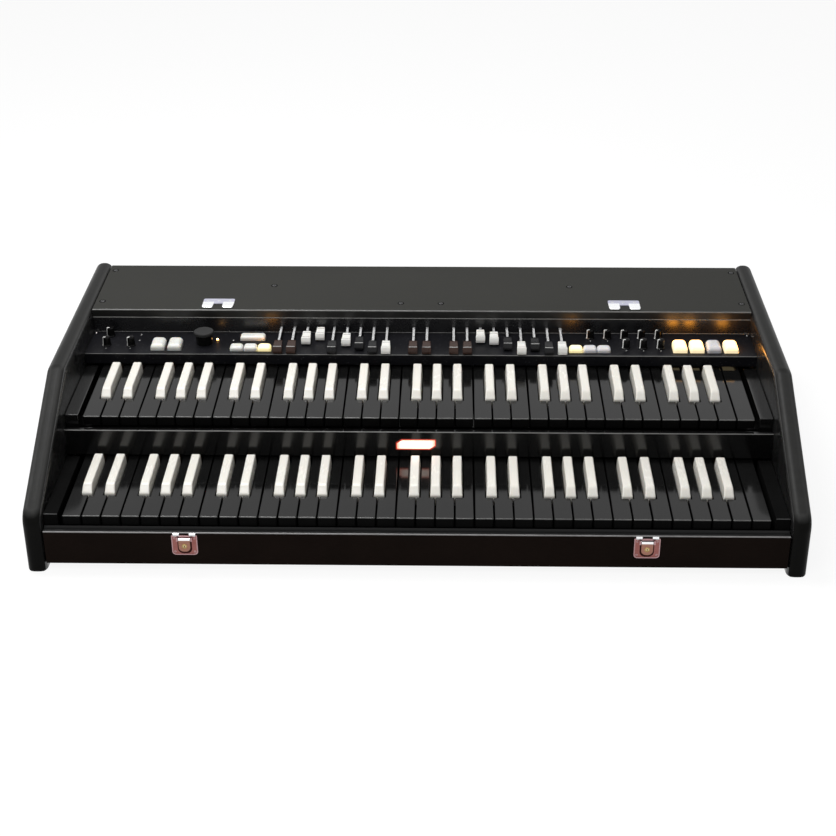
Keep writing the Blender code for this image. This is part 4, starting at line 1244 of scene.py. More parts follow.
# Case
@dataclass
class SidePanel:
    """One side panel: a board with rounded long edges that is also the organ's foot."""

    side: Side
    inner: float = 445.5
    thick: float = 24.0
    edge: float = 10.5
    steps: int = 10
    lead: float = 12.5
    bend_low: float = 5.0
    slope: float = 197.7
    top: float = 106.0
    rear: float = 521.0
    bend_round: float = 24.0
    corner_round: float = 10.0
    corner_steps: int = 8
    foot_round: float = 3.0
    foot_share: float = 0.14
    cheek: float = 2.5
    outer: float = 0.6

    def outline(self, inset: float) -> Plan:
        """Side view with the long edges drawn in by an inset.

        Args:
            inset: how far the edge lies inside the full outline.

        Returns:
            The (depth, height) outline.
        """
        low = inset * self.foot_share - FLOOR
        rise = self.top - self.bend_low
        rate = rise / self.slope
        drop = inset * math.hypot(self.slope, rise) / self.slope
        front, rear, top = inset - self.lead, self.rear - inset, self.top - inset
        corners = [(front, low, self.foot_round),
                   (front, self.bend_low - drop + rate * inset, self.bend_round),
                   (self.slope - self.lead + (drop - inset) / rate, top, self.bend_round),
                   (rear, top, self.corner_round), (rear, low, self.foot_round)]
        points: Plan = []
        for i, (y, z, radius) in enumerate(corners):
            here = Vector((y, z))
            before = (Vector(corners[i - 1][:2]) - here).normalized()
            after = (Vector(corners[(i + 1) % len(corners)][:2]) - here).normalized()
            radius = max(radius - inset, self.foot_round / 3.0)
            half = before.angle(after) / 2.0
            centre = here + (before + after).normalized() * (radius / math.sin(half))
            start = here + before * (radius / math.tan(half)) - centre
            turn = math.pi - 2.0 * half
            for k in range(self.corner_steps + 1):
                a = -turn * k / self.corner_steps
                points.append((centre.x + start.x * math.cos(a) - start.y * math.sin(a),
                               centre.y + start.x * math.sin(a) + start.y * math.cos(a)))
        return points

    def make(self) -> None:
        """Build the panel and dress it."""
        ways = [(self.edge * across, self.edge * along) for across, along in quarter(self.steps)]
        ways += [(self.thick - out, inset) for out, inset in reversed(ways)]
        name = f"side_panel_{self.side.name.lower()}"
        shape = Shape(name + "_board")
        shape.skin([[(self.side.value * (self.inner + out), y, z) for y, z in self.outline(inset)]
                    for out, inset in ways])
        board = shape.build(SIDE_PAINT, CHEEK_PAINT, OUTER_PAINT, sharp=50.0)
        retone(board, 2, lambda x, y, z: abs(x) > self.inner + self.thick - self.outer)
        retone(board, 1, lambda x, y, z: abs(x) < self.inner + self.cheek)
        fit(board, "case", "side_black", name)


@dataclass
class FrontBoard:
    """Front board with a thin lip, a painted highlight on its upper edge, and the slip strip behind the lip.
    """

    half: float = 445.2
    face: float = -9.2
    thick: float = 18.0
    lip: float = 6.5
    top: float = -17.0
    shoulder: float = -27.0
    low: float = -62.7
    edge: float = 1.3
    nick: float = 0.6
    toe: float = 2.0
    slip_rear: float = -0.5
    slip_top: float = -13.6
    slip_gap: float = 0.1

    def make(self) -> None:
        """Build the board and its slip strip."""
        face, back, lip, r = self.face, self.face + self.thick, self.face + self.lip, self.edge
        profile = (arc((face + r, self.top - r), r, 180, 90, 4) + arc((lip - r, self.top - r), r, 90, 0, 3)
                   + [(lip, self.shoulder), (back - self.nick, self.shoulder),
                      (back, self.shoulder - self.nick), (back, self.low + self.nick),
                      (back - self.nick, self.low)]
                   + arc((face + self.toe, self.low + self.toe), self.toe, 270, 180, 4))
        board = Shape("front_board_rail").across(profile, -self.half, self.half).build(
            FRONT_PAINT, FRONT_EDGE_HIGHLIGHT, SLIP_BLACK)
        retone(board, 2, lambda x, y, z: z > self.top - SKIN)
        # painted highlight on the rounded upper front edge
        retone(board, 1, lambda x, y, z: z > self.top - r * NEAR and y < face + r * NEAR)
        fit(board, "case", "front_black", "front_board")
        near, foot = lip + self.slip_gap, self.shoulder + self.slip_gap
        strip = [(near, foot), (self.slip_rear, foot), (self.slip_rear, self.slip_top),
                 (near, self.top - SKIN)]
        slip = Shape("key_slip").across(strip, SEAT - self.half, self.half - SEAT)
        fit(slip.build(SLIP_BLACK, bevel=0.2), "case", "front_black")


@dataclass
class Latch:
    """A case latch: screwed plate with two hooks, and a hinged tongue with a keyhole."""

    side: Side
    x: float = 275.9
    wide: float = 31.0
    high: float = 30.0
    face: float = -9.2
    thick: float = 1.5
    top: float = -17.5
    corners: Sizes = (4.5, 4.5, 0.8, 0.8)
    rim: float = 1.3
    rim_corners: Sizes = (3.6, 3.6, 0.6, 0.6)
    hook: float = 7.5
    hook_high: float = 2.6
    hook_in: float = 2.0
    hook_round: float = 0.9
    tongue: float = 14.0
    tongue_thick: float = 1.5
    tongue_corners: Sizes = (6.0, 6.0, 0.3, 0.3)
    reach: float = 19.1
    pivot: float = -24.4
    knuckle: float = 1.25
    ear: float = 2.2
    ear_gap: float = 0.4
    ear_limits: Sizes = (-2.3, 0.4, -3.0, 2.0)
    pocket: float = 1.6
    pocket_corners: Sizes = (6.5, 6.5, 0.3, 0.3)
    screw: float = 1.5
    screw_in: float = 3.6
    screw_lifts: tuple[float, float] = (4.4, 23.2)
    keyhole: float = 9.5
    ring: Pairs = ((3.2, 0.6), (3.2, -0.4), (3.0, -0.6), (2.4, -0.6), (2.1, 0.1))
    plug: Pairs = ((1.9, 0.4), (1.9, -0.35), (1.6, -0.5))

    def plate(self) -> None:
        """Build the fixed plate with hooks, rim, ears and screws."""
        cx, half, leaf = self.side.value * self.x, self.wide / 2.0, self.tongue / 2.0
        front, back = self.face - self.thick, self.face
        low, dip = self.top - self.high, self.top - self.hook_high
        shape = Shape(f"latch_plate_{self.side.name.lower()}")
        outer = rounded(cx - half, cx + half, low, dip, self.corners)
        inner = rounded(cx - half + self.rim, cx + half - self.rim, low + self.rim + 0.1, dip - 1.0,
                        self.rim_corners)
        shape.deep(outer, front + 0.6, back, 1)
        shape.skin([[(x, front + sunk, z) for x, z in plan] for plan, sunk in
                    ((outer, 0.7), (outer, 0.0), (inner, 0.0), (inner, 0.7))], closed=False)
        gap, foot = leaf + self.pocket, self.pivot - self.reach - 2.1
        pocket = rounded(cx - gap, cx + gap, foot, dip - 1.2, self.pocket_corners, 6)
        # painted shade in the pocket round the tongue
        shape.deep(pocket, front + 0.5, front + 0.8, 3)
        start, ear, r = half - self.hook_in, leaf + self.ear_gap, self.hook_round
        curl = [(front, dip - 1.4), *arc((front + r, self.top - r), r, 180, 0, 6),
                (front + 2.0 * r, dip - 1.4)]
        y0, y1, z0, z1 = self.ear_limits
        for way in (-1, 1):
            shape.across(curl, *span(cx, way, start, start - self.hook), 2)
            shape.block(*span(cx, way, ear, ear + self.ear), front + y0, front + y1, self.pivot + z0,
                        self.pivot + z1)
        shape.block(cx - leaf, cx + leaf, front - 0.2, front + 0.7, self.pivot + 2.0, dip - 0.9)
        # the plate's pink tint is a painted reflection
        fit(shape.build(RIM_NICKEL, NICKEL, CHROME, POCKET_SHADE, bevel=0.25), "case", "latch_nickel")
        out = half - self.screw_in
        drive(f"latch_screws_{self.side.name.lower()}", "latch_nickel",
              [(cx + way * out, front + 0.5, low + lift) for way in (-1, 1) for lift in self.screw_lifts],
              self.screw, RIM_NICKEL, TO_FRONT, 0.35)

    def lever(self) -> None:
        """Build the hinged tongue with its keyhole barrel."""
        name = f"latch_lever_{self.side.name.lower()}"
        cx, half = self.side.value * self.x, self.tongue / 2.0
        rear, r = self.face - self.thick - SEAT, self.knuckle
        mid, neck = rear - r, self.pivot - 1.6
        back = rear - 0.4
        front = back - self.tongue_thick
        shape = Shape(name + "_tongue")
        roll = arc((mid, self.pivot), r, 0, 180, 8) + [(mid - r, neck), (rear, neck)]
        shape.across(roll, cx - half, cx + half, 1)
        shape.deep(rounded(cx - half, cx + half, self.pivot - self.reach + 1.8, self.pivot - 1.2,
                           self.tongue_corners, 6), front, back)
        # the tongue's tan tint is a painted reflection
        fit(shape.build(TONGUE, CHROME, bevel=0.45, segments=3), name, "latch_nickel", name)
        z, face = self.pivot - self.keyhole, front - 0.62
        barrel = Shape(name + "_barrel")
        barrel.turned((cx, front, z), self.ring, 20, 0, "y")
        barrel.turned((cx, front, z), self.plug, 16, 1, "y")
        # keyhole slot and hole drawn in painted shade
        barrel.block(cx - 0.45, cx + 0.45, face, front + 0.2, z - 1.5, z + 0.6, 2)
        barrel.turned((cx, face, z + 0.5), [(0.75, 0.0), (0.75, 0.6)], 10, 2, "y")
        fit(barrel.build(BRASS, PLUG_BRASS, HOLLOW_SHADE, sharp=30.0), name, "latch_nickel")

    def make(self) -> None:
        """Build the plate and the lever."""
        self.plate()
        self.lever()


@dataclass
class TopBoard:
    """Matte top board with painted highlights on its front edges, a painted highlight band under them, a
    front face in painted shade, black screws and two lid hinge leaves.
    """

    half: float = 445.2
    front: float = 358.5
    rear: float = 509.0
    low: float = 92.5
    top: float = 104.5
    edge: float = 1.4
    nick: float = 0.6
    screw: float = 3.1
    recess: float = 4.4
    screw_spots: Pairs = (
        (-437.0, 490.0), (437.0, 490.0), (-436.0, 385.0), (436.0, 385.0), (-205.5, 439.5), (205.5, 439.5),
        (-27.3, 382.3), (27.3, 382.3))
    leaf_x: float = 276.0
    leaf_wide: float = 42.5
    leaf_front: float = 362.5
    leaf_deep: float = 30.0
    strip: float = 14.5
    tongue: float = 15.0
    nose: float = 1.9
    nose_ends: Pairs = ((0.0, 2.6), (0.5, 1.3), (1.4, 0.4), (2.8, 0.0))
    leaf_screws: Sizes = (-15.0, 0.0, 15.0)

    def board(self) -> None:
        """Build the board and its screws."""
        r, y0, y1, z0, z1 = self.edge, self.front, self.rear, self.low, self.top
        profile = (arc((y0 + r, z1 - r), r, 180, 90, 4) + arc((y1 - r, z1 - r), r, 90, 0, 4)
                   + [(y1, z0 + self.nick), (y1 - self.nick, z0)] + arc((y0 + r, z0 + r), r, 270, 180, 4))
        board = Shape("top_board_panel").across(profile, -self.half, self.half).build(
            TOP_PAINT, PAINTED_EDGE_HIGHLIGHT, TOP_FACE_SHADE)
        # painted highlight band along the board's lower front edge
        brick("top_board_band", (-self.half, self.half, y0 - 0.45, y0 + 1.0, z0 + 0.1, z0 + 0.8), TOP_BAND_HIGHLIGHT,
              "case", "top_black", 0.2)
        # painted shade on the front face
        retone(board, 2, lambda x, y, z: y < y0 + 0.1)
        # painted highlight on the rounded front edges
        retone(board, 1, lambda x, y, z: y < y0 + r * NEAR and (z > z1 - r * NEAR or z < z0 + r * NEAR))
        fit(board, "case", "top_black", "top_board")
        drive("top_board_screws", "top_black", [(x, y, z1 - 0.2) for x, y in self.screw_spots], self.screw,
              SCREW_BLACK, rise=0.7)
        # painted shade: a dark ring round each screw in place of the shade in its recess
        rings = Shape("top_board_recesses")
        profile = [(self.recess, -0.3), (self.recess, 0.05), (self.screw + 0.1, 0.08)]
        for x, y in self.screw_spots:
            rings.turned((x, y, z1), profile, 20)
        fit(rings.build(HOLLOW_SHADE), "case", "top_black")

    def knuckle(self, low: float) -> list[Ring]:
        """Cross-sections of one raised tongue with its rolled nose and rounded ends.

        Args:
            low: x of its left end.

        Returns:
            The rings from left to right.
        """
        y0, z, wide, r = self.leaf_front, self.top, self.tongue, self.nose
        rings = []
        ends = self.nose_ends
        for dx, back in [*ends, *((wide - dx, back) for dx, back in reversed(ends))]:
            drop = back * 0.25
            side = [(y0 + 20.0, z + 0.3), (y0 + 20.0, z + 1.15), (y0 + 17.0, z + 1.5 - drop * 0.4),
                    (y0 + 12.0, z + 2.1 - drop), (y0 + 8.0, z + 2.7 - drop),
                    *arc((y0 + r + back, z + 1.3 - drop), r - drop * 0.5, 75, 200, 7),
                    (y0 + 1.2 + back, z + 0.2), (y0 + 6.0 + back, z + 0.2)]
            rings.append([(low + dx, y, height) for y, height in side])
        return rings

    def leaf(self, side: Side) -> None:
        """Build one hinge leaf: a rear strip and two raised, rounded tongues.

        Args:
            side: the side that it lies on.
        """
        cx, half, z = side.value * self.leaf_x, self.leaf_wide / 2.0, self.top
        y0, y1 = self.leaf_front, self.leaf_front + self.leaf_deep
        shape = Shape(f"hinge_leaf_{side.name.lower()}")
        strip = rounded(cx - half, cx + half, y0 + self.strip, y1, (0.5, 0.5, 2.5, 2.5))
        # the strip's dim lilac chrome is a painted reflection
        shape.upright(strip, z - 0.4, z + 1.1, 1)
        for way in (-1, 1):
            low, high = span(cx, way, half, half - self.tongue)
            shape.skin(self.knuckle(low))
            # painted shade under each tongue
            shape.block(low + 0.8, high - 0.8, y0 + 1.5, y0 + 16.0, z - 0.3, z + 0.22, 2)
        fit(shape.build(CHROME, DIM_CHROME_REFLECTION, HOLLOW_SHADE, bevel=0.25), "case", "latch_nickel")
        drive(f"hinge_screws_{side.name.lower()}", "latch_nickel",
              [(cx + dx, y1 - 5.5, z + 1.0) for dx in self.leaf_screws], 2.0, SCREW_ZINC, rise=0.35)

    def make(self) -> None:
        """Build the board and both leaves."""
        self.board()
        for side in Side:
            self.leaf(side)


@dataclass
class LowerFrame:
    """Bottom board with the lower keyboard's rails and end blocks."""

    edge: float = 0.8
    shortest: float = 8.0
    block_front: float = 2.0
    block_top: float = 1.0
    screw: float = 3.0
    screw_x: float = 430.0
    screw_rows: Sizes = (40.0, 190.0, 340.0, 480.0)

    def make(self) -> None:
        """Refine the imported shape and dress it."""
        body = refined("base_frame", "base_frame_boards", self.edge, self.shortest, BLOCK_PAINT, BLOCK_EDGE_HIGHLIGHT)
        # painted highlight on the blocks' upper front edges
        retone(body, 1, lambda x, y, z: max(abs(z - self.block_top), abs(y - self.block_front)) < self.edge)
        fit(body, "case", "base_black", "base_frame")
        low = Box.of("base_frame").z0 + 0.1
        spots = [(way * self.screw_x, y, low) for way in (-1, 1) for y in self.screw_rows]
        drive("base_screws", "base_black", spots, self.screw, SCREW_ZINC, DOWNWARD)


@dataclass
class RearPanel:
    """Rear panel with a sunk socket field: mains inlet with three pins and four jack sockets."""

    face: float = 509.0
    sunk: float = 5.0
    edge: float = 0.7
    shortest: float = 25.0
    inlet_x: float = 380.0
    pin: float = 2.0
    pins: Pairs = ((-7.0, -2.5), (7.0, -2.5), (0.0, 3.5))
    shroud: tuple[float, float] = (13.3, 9.8)
    wall: float = 1.5
    jack_x: float = 250.0
    jack_pitch: float = 24.0
    jacks: int = 4
    hole: float = 3.4
    panel_screws: Sizes = (-436.0, -150.0, 150.0, 436.0)
    panel_rows: Sizes = (-54.0, 84.0)
    field_screws: Sizes = (238.0, 402.0)
    field_rows: Sizes = (-12.5, 12.5)

    def jack_rings(self, floor: float) -> None:
        """Build the threaded rings of the jack sockets.

        Args:
            floor: depth of the socket field.
        """
        bore = self.hole + 0.1
        ring = Shape("jack_ring").turned((0.0, floor, -FLOOR), [
            (bore, -3.0), (5.6, -3.0), (5.6, 0.6), (5.0, 1.1), (4.2, 1.1), (bore, 0.6)], 24, 0, "y")
        ring.faces, ring.tones = ring.faces[:-2], ring.tones[:-2]
        rings = ring.build(SCREW_ZINC, sharp=30.0)
        rules().row.apply(rings, SCREW_ZINC, Count=self.jacks, Step=(self.jack_pitch * MM, 0.0, 0.0))
        rings.data.transform(Matrix.Translation((self.jack_x * MM, 0.0, FLOOR * MM)))
        rings.name = "jack_rings"
        fit(rings, "case", "latch_nickel")

    def inlet(self, floor: float) -> None:
        """Build the mains inlet's pins and shroud.

        Args:
            floor: depth of the socket field.
        """
        cx, half = self.inlet_x, self.pin / 2.0
        pins = Shape("inlet_pins")
        for x, z in self.pins:
            pins.block(cx + x - half, cx + x + half, floor - 14.0, floor - 2.0, z - self.pin, z + self.pin)
        fit(pins.build(BRASS, bevel=0.4), "case", "latch_nickel")
        wide, high = self.shroud
        outer = rounded(cx - wide, cx + wide, -high, high, (1.5, 1.5, 5.0, 5.0))
        wide, high = wide - self.wall, high - self.wall
        inner = rounded(cx - wide, cx + wide, -high, high, (0.8, 0.8, 4.0, 4.0))
        shroud = Shape("inlet_shroud").skin([[(x, floor + y, z) for x, z in plan] for plan, y in (
            (outer, -15.0), (outer, 1.2), (inner, 1.2), (inner, -15.0))], closed=False)
        fit(shroud.build(CHIP_BLACK, bevel=0.3), "case", "rear_black")

    def make(self) -> None:
        """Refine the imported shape, then add rings, pins and screws."""
        body = refined("rear_panel", "rear_panel_board", self.edge, self.shortest, REAR_PAINT)
        fit(body, "case", "rear_black", "rear_panel")
        floor = self.face - self.sunk
        self.jack_rings(floor)
        self.inlet(floor)
        spots = [(x, self.face - 0.1, z) for x in self.panel_screws for z in self.panel_rows]
        drive("rear_panel_screws", "rear_black", spots, 3.0, SCREW_BLACK, TO_REAR)
        spots = [(x, floor - 0.05, z) for x in self.field_screws for z in self.field_rows]
        drive("socket_field_screws", "latch_nickel", spots, 2.0, SCREW_ZINC, TO_REAR)


# Keyboards
@dataclass
class Manual:
    """One keyboard: 36 naturals and 25 sharps, each gang on its own hinge."""

    label: str
    setback: float = 0.0
    rise: float = 0.0
    pitch: float = 23.5
    naturals: int = 36
    octave: int = 7
    gap: float = 1.4
    corner: float = 1.9
    thick: float = 13.0
    front_highlight_band: float = 0.9
    head: float = 48.8
    rear: float = 131.0
    sharp_wide: float = 13.0
    sharp_top: float = 11.0
    sharp_high: float = 11.0
    clear: float = 1.0
    body_rear: float = 149.0
    pivot: float = 200.0
    rail: float = 12.0
    rail_deep: float = 10.0
    tail_top: float = 6.0
    lever: float = 9.4
    lever_top: float = 1.0
    lever_rail: float = 21.0
    lever_rail_deep: float = 12.0
    uneven: float = 0.05
    shifts: tuple[tuple[int, float], ...] = ((1, -0.09), (2, 0.09), (4, -0.11), (5, 0.0), (6, 0.13))
    climb: tuple[Point, ...] = (
        (0.0, 0.3, 1.0), (0.25, 1.5, 0.5), (1.4, 2.9, 0.0), (3.6, 5.1, 0.0), (5.8, 7.3, 0.0),
        (7.6, 8.9, 0.0), (9.6, 10.1, 0.0), (12.0, 10.8, 0.0), (15.0, 11.0, 0.0))
    fall: tuple[Point, ...] = ((-2.0, 0.0, 0.0), (-0.8, 0.3, 0.1), (-0.2, 0.9, 0.4), (0.0, 2.0, 0.8))

    def edge(self, index: int) -> float:
        """X of the line between two naturals."""
        return index * self.pitch - self.naturals * self.pitch / 2.0

    def sharp(self, index: int) -> Optional[float]:
        """Find the sharp over a line between two naturals.

        Args:
            index: the line's number from the left.

        Returns:
            The x of the sharp's middle, or None where there is no sharp.
        """
        shifts = dict(self.shifts)
        if index <= 0 or index >= self.naturals or index % self.octave not in shifts:
            return None
        return self.edge(index) + shifts[index % self.octave] * self.pitch

    def natural(self, index: int) -> Object:
        """One natural with its notches, rounded edges and tail.

        Args:
            index: its number from the left.

        Returns:
            The key as a mesh object.
        """
        left, right = self.edge(index) + self.gap / 2.0, self.edge(index + 1) - self.gap / 2.0
        below, above = self.sharp(index), self.sharp(index + 1)
        reach = self.sharp_wide / 2.0 + self.clear
        a = left if below is None else below + reach
        b = right if above is None else above - reach
        notch, rear, r = self.head - self.clear, self.body_rear, self.corner
        plan: Plan = arc((left + r, r), r, 180, 270, 3) + arc((right - r, r), r, 270, 360, 3)
        plan.append((right, notch))
        if b < right:
            plan.append((b, notch))
        plan += [(b, rear), (a, rear)]
        if a > left:
            plan.append((a, notch))
        plan.append((left, notch))
        y, z = self.setback, self.rise
        shape = Shape(f"{self.label}_natural_{index}")
        shape.upright([(u, v + y) for u, v in plan], z - self.thick, z)
        key = shape.build(KEY_BLACK, bevel=1.1, segments=3, sharp=40.0)
        tail = Shape(f"{self.label}_tail_{index}").block(
            a + 0.6, b - 0.6, y + rear - 3.0, y + self.pivot + self.rail + 1.0, z - self.thick + 0.2,
            z - self.tail_top)
        return merge([key, tail.build(KEY_BLACK)], key.name)

    def natural_gang(self) -> None:
        """Build all naturals: each shape of an octave is repeated along the keyboard."""
        y, z, octave = self.setback, self.rise, self.octave
        rows = [rules().row.apply(self.natural(index), KEY_BLACK, Count=self.naturals // octave,
                                  Step=(octave * self.pitch * MM, 0.0, 0.0), Jitter=self.uneven * MM,
                                  Seed=11 + index) for index in range(octave)]
        rows.append(self.natural(self.naturals - 1))
        first, last, back = self.edge(0) + 1.1, self.edge(self.naturals) - 1.1, y + self.pivot + self.rail
        rail = Shape("tail_rail").block(first, last, back, back + self.rail_deep, z - self.thick,
                                        z - self.tail_top)
        rows.append(rail.build(KEY_BLACK, bevel=0.5))
        gang = merge(rows, f"{self.label}_natural_keys")
        polish(gang, sharp=40.0)
        for mat in paint(KEY_SIDE_SHADE, KEY_EDGE_HIGHLIGHT):
            gang.data.materials.append(mat)
        # painted shade: every face that does not face up gets the darker copy
        for face in gang.data.polygons:
            if face.normal.z < 0.8:
                face.material_index = 1
        # painted highlight on the front top edges
        retone(gang, 2, lambda _x, depth, height: depth < y + self.front_highlight_band and height > z - self.front_highlight_band)
        fit(gang, f"{self.label}_naturals", "natural_black", f"{self.label}_naturals")

    def sharp_key(self) -> Object:
        """One sharp with a sloping front and rounded edges, its middle on x = 0.

        Returns:
            The key as a mesh object.
        """
        high = self.sharp_high
        sections = [(self.head + y, z, inset) for y, z, inset in self.climb]
        sections += [(self.rear + y, high - drop, inset) for y, drop, inset in self.fall]
        rings = []
        for y, top, inset in sections:
            low_half = self.sharp_wide / 2.0 - inset
            share = min(max(top / high, 0.0), 1.0)
            high_half = low_half - (self.sharp_wide - self.sharp_top) / 2.0 * share
            r = min(1.7, max(top * 0.45, 0.1))
            right = [(low_half, 0.5 - self.thick), (low_half, 0.0),
                     *arc((high_half - r, top - r), r, 0, 90, 4)]
            ring = right + [(-x, z) for x, z in reversed(right)]
            rings.append([(x, y + self.setback, z + self.rise) for x, z in ring])
        return Shape("sharp_template").skin(rings).build(KEY_IVORY, sharp=50.0)

    def sharp_gang(self) -> None:
        """Build all sharps, their levers and the rail that crosses over the naturals' tails."""
        body = f"{self.label}_sharps"
        centres = [x for x in (self.sharp(i) for i in range(self.naturals)) if x is not None]
        gang = scatter(f"{self.label}_sharp_keys", self.sharp_key(), [(x, MIDDLE, -FLOOR) for x in centres],
                       KEY_IVORY)
        fit(polish(gang, sharp=50.0), body, "sharp_ivory", body)
        levers = Shape(f"{self.label}_sharp_levers")
        half, rear, z = self.lever / 2.0, self.setback + self.rear, self.rise - self.lever_top
        for x in centres:
            levers.block(x - half, x + half, rear - 0.5, self.setback + self.pivot + 6.0,
                         self.rise - self.thick, z)
        rail = rear + self.lever_rail
        levers.block(centres[0] - 3.0, centres[-1] + 3.0, rail, rail + self.lever_rail_deep, z - 1.5,
                     z + 6.0)
        fit(levers.build(KEY_WOOD, bevel=0.4), body, "natural_black")

    def make(self) -> None:
        """Build both gangs."""
        self.natural_gang()
        self.sharp_gang()


@dataclass
class UpperFrame:
    """Shelf of the upper keyboard with the glossy board between the manuals and its backlit lens."""

    face: float = 140.7
    top: float = 38.5
    edge: float = 1.0
    shortest: float = 8.0
    lens_left: float = -26.0
    lens_right: float = 22.0
    lens_low: float = 14.4
    lens_high: float = 27.1
    slant: float = 7.0
    cut: float = 5.0
    nick: float = 1.0
    rim: float = 1.3

    def make(self) -> None:
        """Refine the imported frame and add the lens."""
        body = refined("upper_key_frame", "upper_frame_boards", self.edge, self.shortest, DIVIDER_GLOSS,
                       PAINTED_EDGE_HIGHLIGHT)
        # painted highlight on the divider's upper front edge
        retone(body, 1, lambda x, y, z: max(abs(z - self.top), abs(y - self.face)) < self.edge)
        fit(body, "case", "divider_gloss", "upper_key_frame")
        x0, x1, z0, z1 = self.lens_left, self.lens_right, self.lens_low, self.lens_high
        s, cut, nick = self.slant, self.cut, self.nick
        outline = [(x0, z0 + nick), (x0 + nick, z0), (x1 - s, z0), (x1, z0 + cut), (x1, z1 - nick),
                   (x1 - nick, z1), (x0 + s, z1), (x0, z1 - cut)]
        cx, cz = (x0 + x1) / 2.0, (z0 + z1) / 2.0
        wide = [(x + math.copysign(self.rim, x - cx), z + math.copysign(self.rim, z - cz))
                for x, z in outline]
        for name, plan, proud, finish, bevel in (("divider_lens", outline, 0.5, SIGN_LENS, 0.2),
                                                 ("divider_lens_rim", wide, 0.2, SIGN_RIM, 0.1)):
            piece = Shape(name).deep(plan, self.face - proud, self.face + 0.3).build(finish, bevel=bevel)
            fit(face_map(piece, (0, 2)), "case", "divider_gloss")


# Control panel
@dataclass
class ControlPanel:
    """Folded glossy sheet with painted highlights along its folds, corner screws, printed dots and a small
    lamp.
    """

    front: float = 291.5
    wall: float = 359.5
    fold: float = 1.3
    shortest: float = 300.0
    screws: Pairs = ((-442.0, 355.0), (442.0, 355.0))
    dots: Pairs = ((-379.0, 349.0), (-379.0, 331.0), (-252.0, 333.0))
    dot: float = 0.9
    knob_dot: float = 0.75
    knob_dot_out: float = 3.0
    lamp: tuple[float, float] = (-273.5, 333.3)
    bezel: Pairs = ((2.6, -0.3), (2.6, 0.5), (2.3, 0.8), (1.9, 0.8), (1.9, 0.2))
    dome: Pairs = ((1.7, -0.2), (1.7, 1.0), (1.5, 1.7), (0.9, 2.2), (0.2, 2.4))

    def folded(self, y: float, z: float) -> bool:
        """Whether a place lies on one of the deck's two folds."""
        return abs(z - DECK) < self.fold and min(abs(y - self.front), abs(y - self.wall)) < self.fold

    def make(self) -> None:
        """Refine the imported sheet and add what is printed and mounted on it."""
        body = refined("control_panel", "control_panel_sheet", self.fold, self.shortest, PANEL_GLOSS,
                       PAINTED_EDGE_HIGHLIGHT, WALL_GLOSS)
        retone(body, 2, lambda x, y, z: z > DECK + self.fold and abs(y - self.wall) < SKIN)
        # painted highlight along both folds
        retone(body, 1, lambda x, y, z: self.folded(y, z))
        fit(body, "case", "panel_gloss", "control_panel")
        drive("panel_screws", "panel_gloss", [(x, y, DECK - 0.1) for x, y in self.screws], 1.7, SCREW_ZINC)
        marks = Shape("panel_dots")
        for name in sorted(frame["nodes"]):
            if name.startswith("knob_"):
                box = Box.of(name)
                marks.turned((box.cx, box.y0 - self.knob_dot_out, DECK),
                             [(self.knob_dot, -0.3), (self.knob_dot, 0.06)], 10)
        for x, y in self.dots:
            marks.turned((x, y, DECK), [(self.dot, -0.3), (self.dot, 0.08)], 10)
        fit(marks.build(PRINT_AND_HIGHLIGHT_WHITE), "case", "panel_gloss")
        place = (*self.lamp, DECK)
        fit(Shape("small_lamp_bezel").turned(place, self.bezel, 16).build(KNOB_BLACK), "case", "panel_gloss")
        dome = Shape("small_lamp").turned(place, self.dome, 16).build(LAMP_AMBER)
        fit(face_map(dome), "case", "panel_gloss")


class BarColour(Enum):
    """Cap colour of a drawbar, as its record slot."""

    BROWN = "drawbar_brown"
    WHITE = "drawbar_white"
    BLACK = "drawbar_black"

    @property
    def finish(self) -> Finish:
        """The finish of this colour."""
        return {"BROWN": BAR_BROWN, "WHITE": BAR_WHITE, "BLACK": BAR_BLACK}[self.name]


